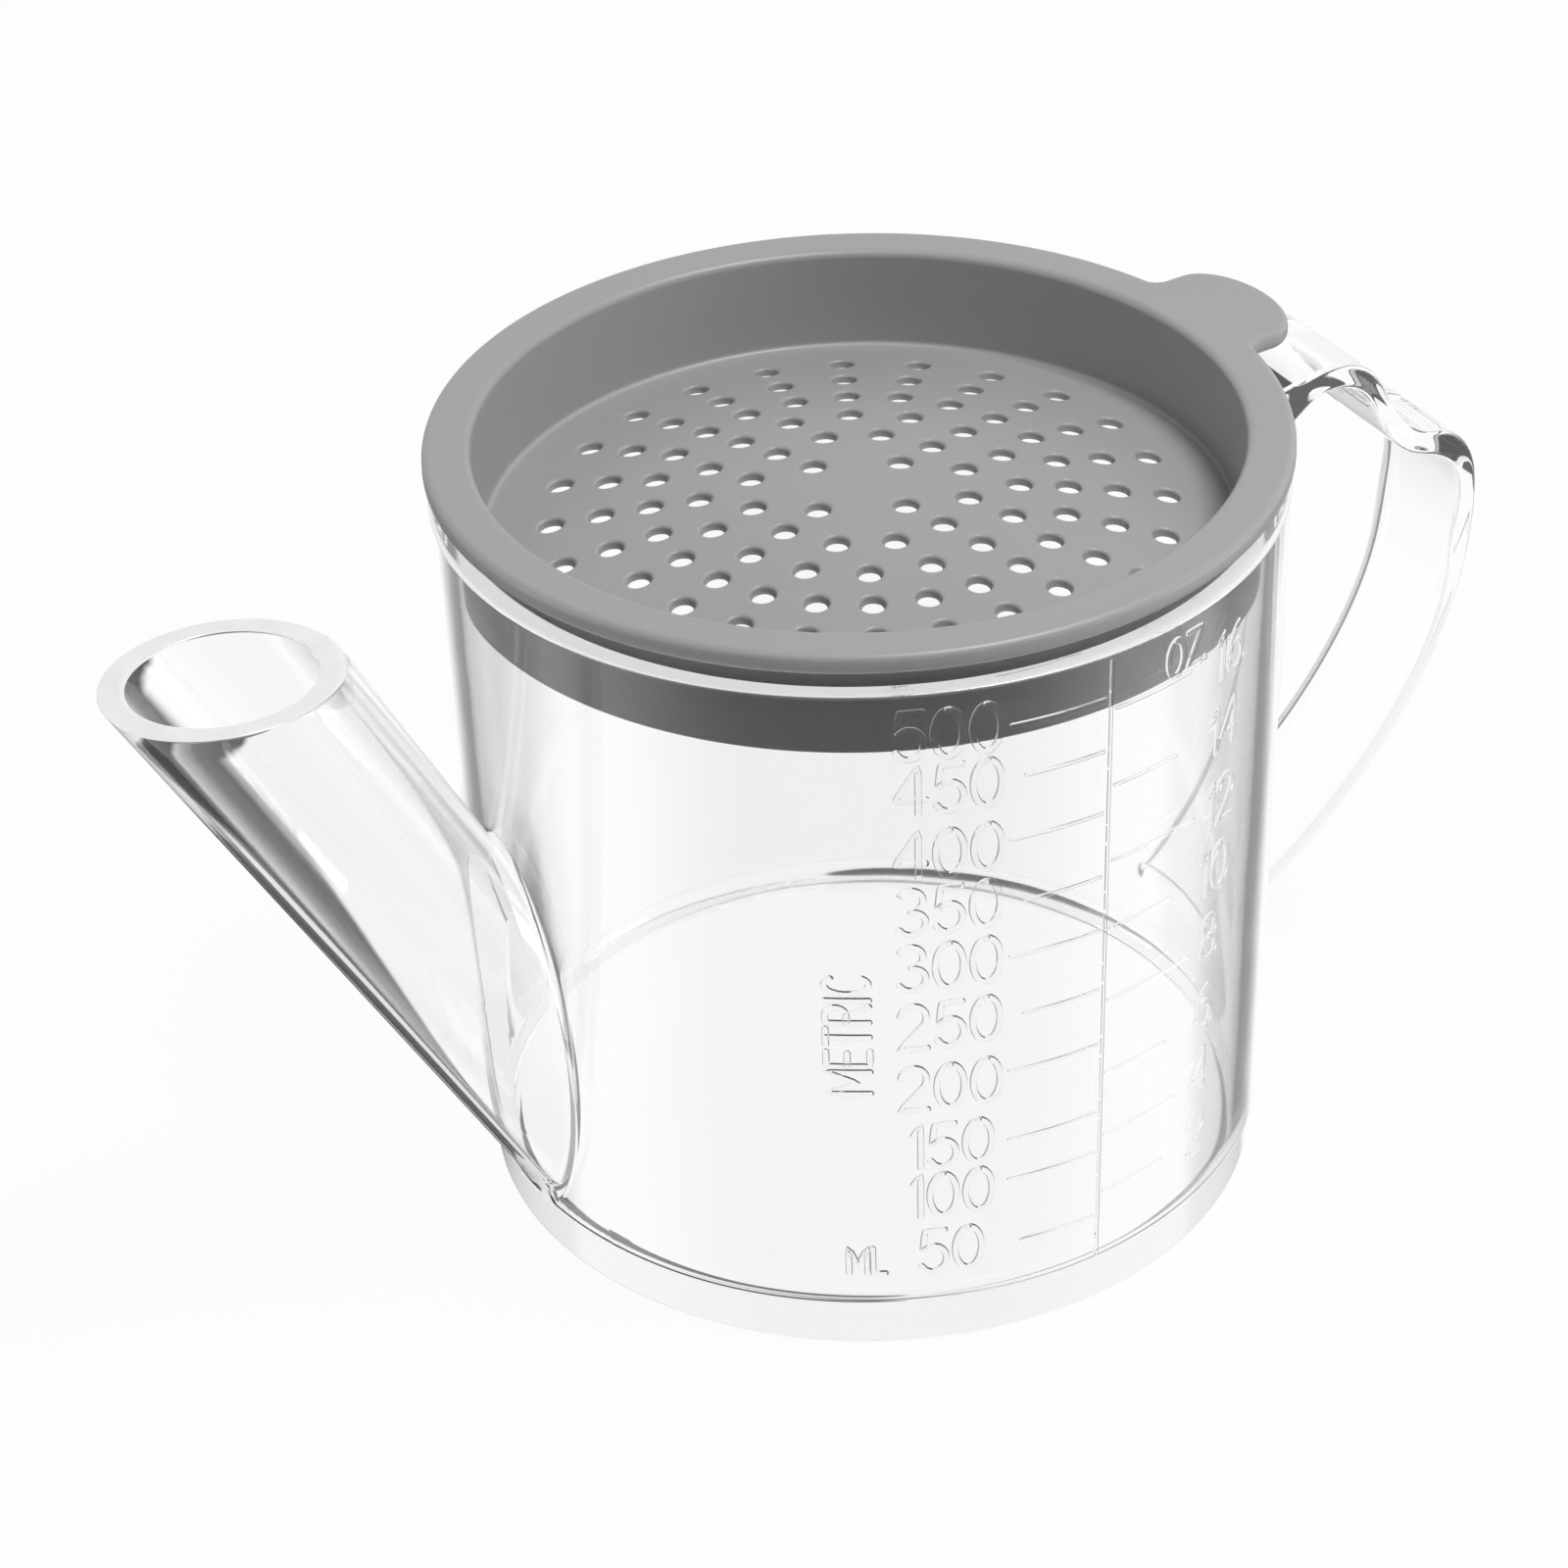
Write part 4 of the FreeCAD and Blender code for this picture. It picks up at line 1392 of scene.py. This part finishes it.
class JUG_OT_scale(bpy.types.Operator):
    """Build the raised scale: lines, marks and numerals"""

    bl_idname = "jug.scale"
    bl_label = "Scale"

    def execute(self, context):
        finishes = context.scene.jug_finishes
        clear = clear_plastic("clear_scale", finishes, finishes.scale_ior)
        skins = build_scale(context.scene.jug_sizes, context.scene.jug_scale)
        for skin, name in zip(skins, ("scale_marks", "scale_numerals")):
            skin.piece(name, "jug", "clear_plastic").data.materials.append(clear)
        return {"FINISHED"}


class JUG_OT_strainer(bpy.types.Operator):
    """Build the strainer lid"""

    bl_idname = "jug.strainer"
    bl_label = "Strainer"

    def execute(self, context):
        piece = build_strainer(context.scene.jug_strainer).piece("strainer", "strainer", "grey_plastic")
        piece.data.materials.append(grey_plastic("grey_plastic", context.scene.jug_finishes))
        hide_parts("strainer_lid")
        return {"FINISHED"}


class JUG_OT_stage(bpy.types.Operator):
    """Set up the floor, the lamps, the world and the camera"""

    bl_idname = "jug.stage"
    bl_label = "Stage"

    def execute(self, context):
        stage = context.scene.jug_stage
        add_floor(stage)
        add_world(stage)
        for lamp in LAMPS:
            add_lamp(*lamp)
        add_camera()
        return {"FINISHED"}


class JUG_PT_panel(bpy.types.Panel):
    """Lists the operators that build the object"""

    bl_label = "Gravy Fat Separator"
    bl_idname = "JUG_PT_panel"
    bl_space_type = "VIEW_3D"
    bl_region_type = "UI"
    bl_category = "Jug"

    def draw(self, context):
        for operator in OPERATORS:
            self.layout.operator(operator.bl_idname)


OPERATORS = (JUG_OT_clear_jug, JUG_OT_scale, JUG_OT_strainer, JUG_OT_stage)
GROUPS = {
    "jug_sizes": JugSizes,
    "jug_strainer": StrainerSizes,
    "jug_scale": ScaleSizes,
    "jug_finishes": Finishes,
    "jug_stage": StageSettings,
}


def register():
    for cls in (*GROUPS.values(), *OPERATORS, JUG_PT_panel):
        bpy.utils.register_class(cls)
    for name, group in GROUPS.items():
        setattr(bpy.types.Scene, name, PointerProperty(type=group))


def unregister():
    for name in GROUPS:
        delattr(bpy.types.Scene, name)
    for cls in reversed((*GROUPS.values(), *OPERATORS, JUG_PT_panel)):
        bpy.utils.unregister_class(cls)


def main():
    register()
    bpy.context.scene.view_settings.view_transform = "Standard"
    for operator in OPERATORS:
        group, name = operator.bl_idname.split(".")
        getattr(getattr(bpy.ops, group), name)()


if __name__ == "__main__":
    main()
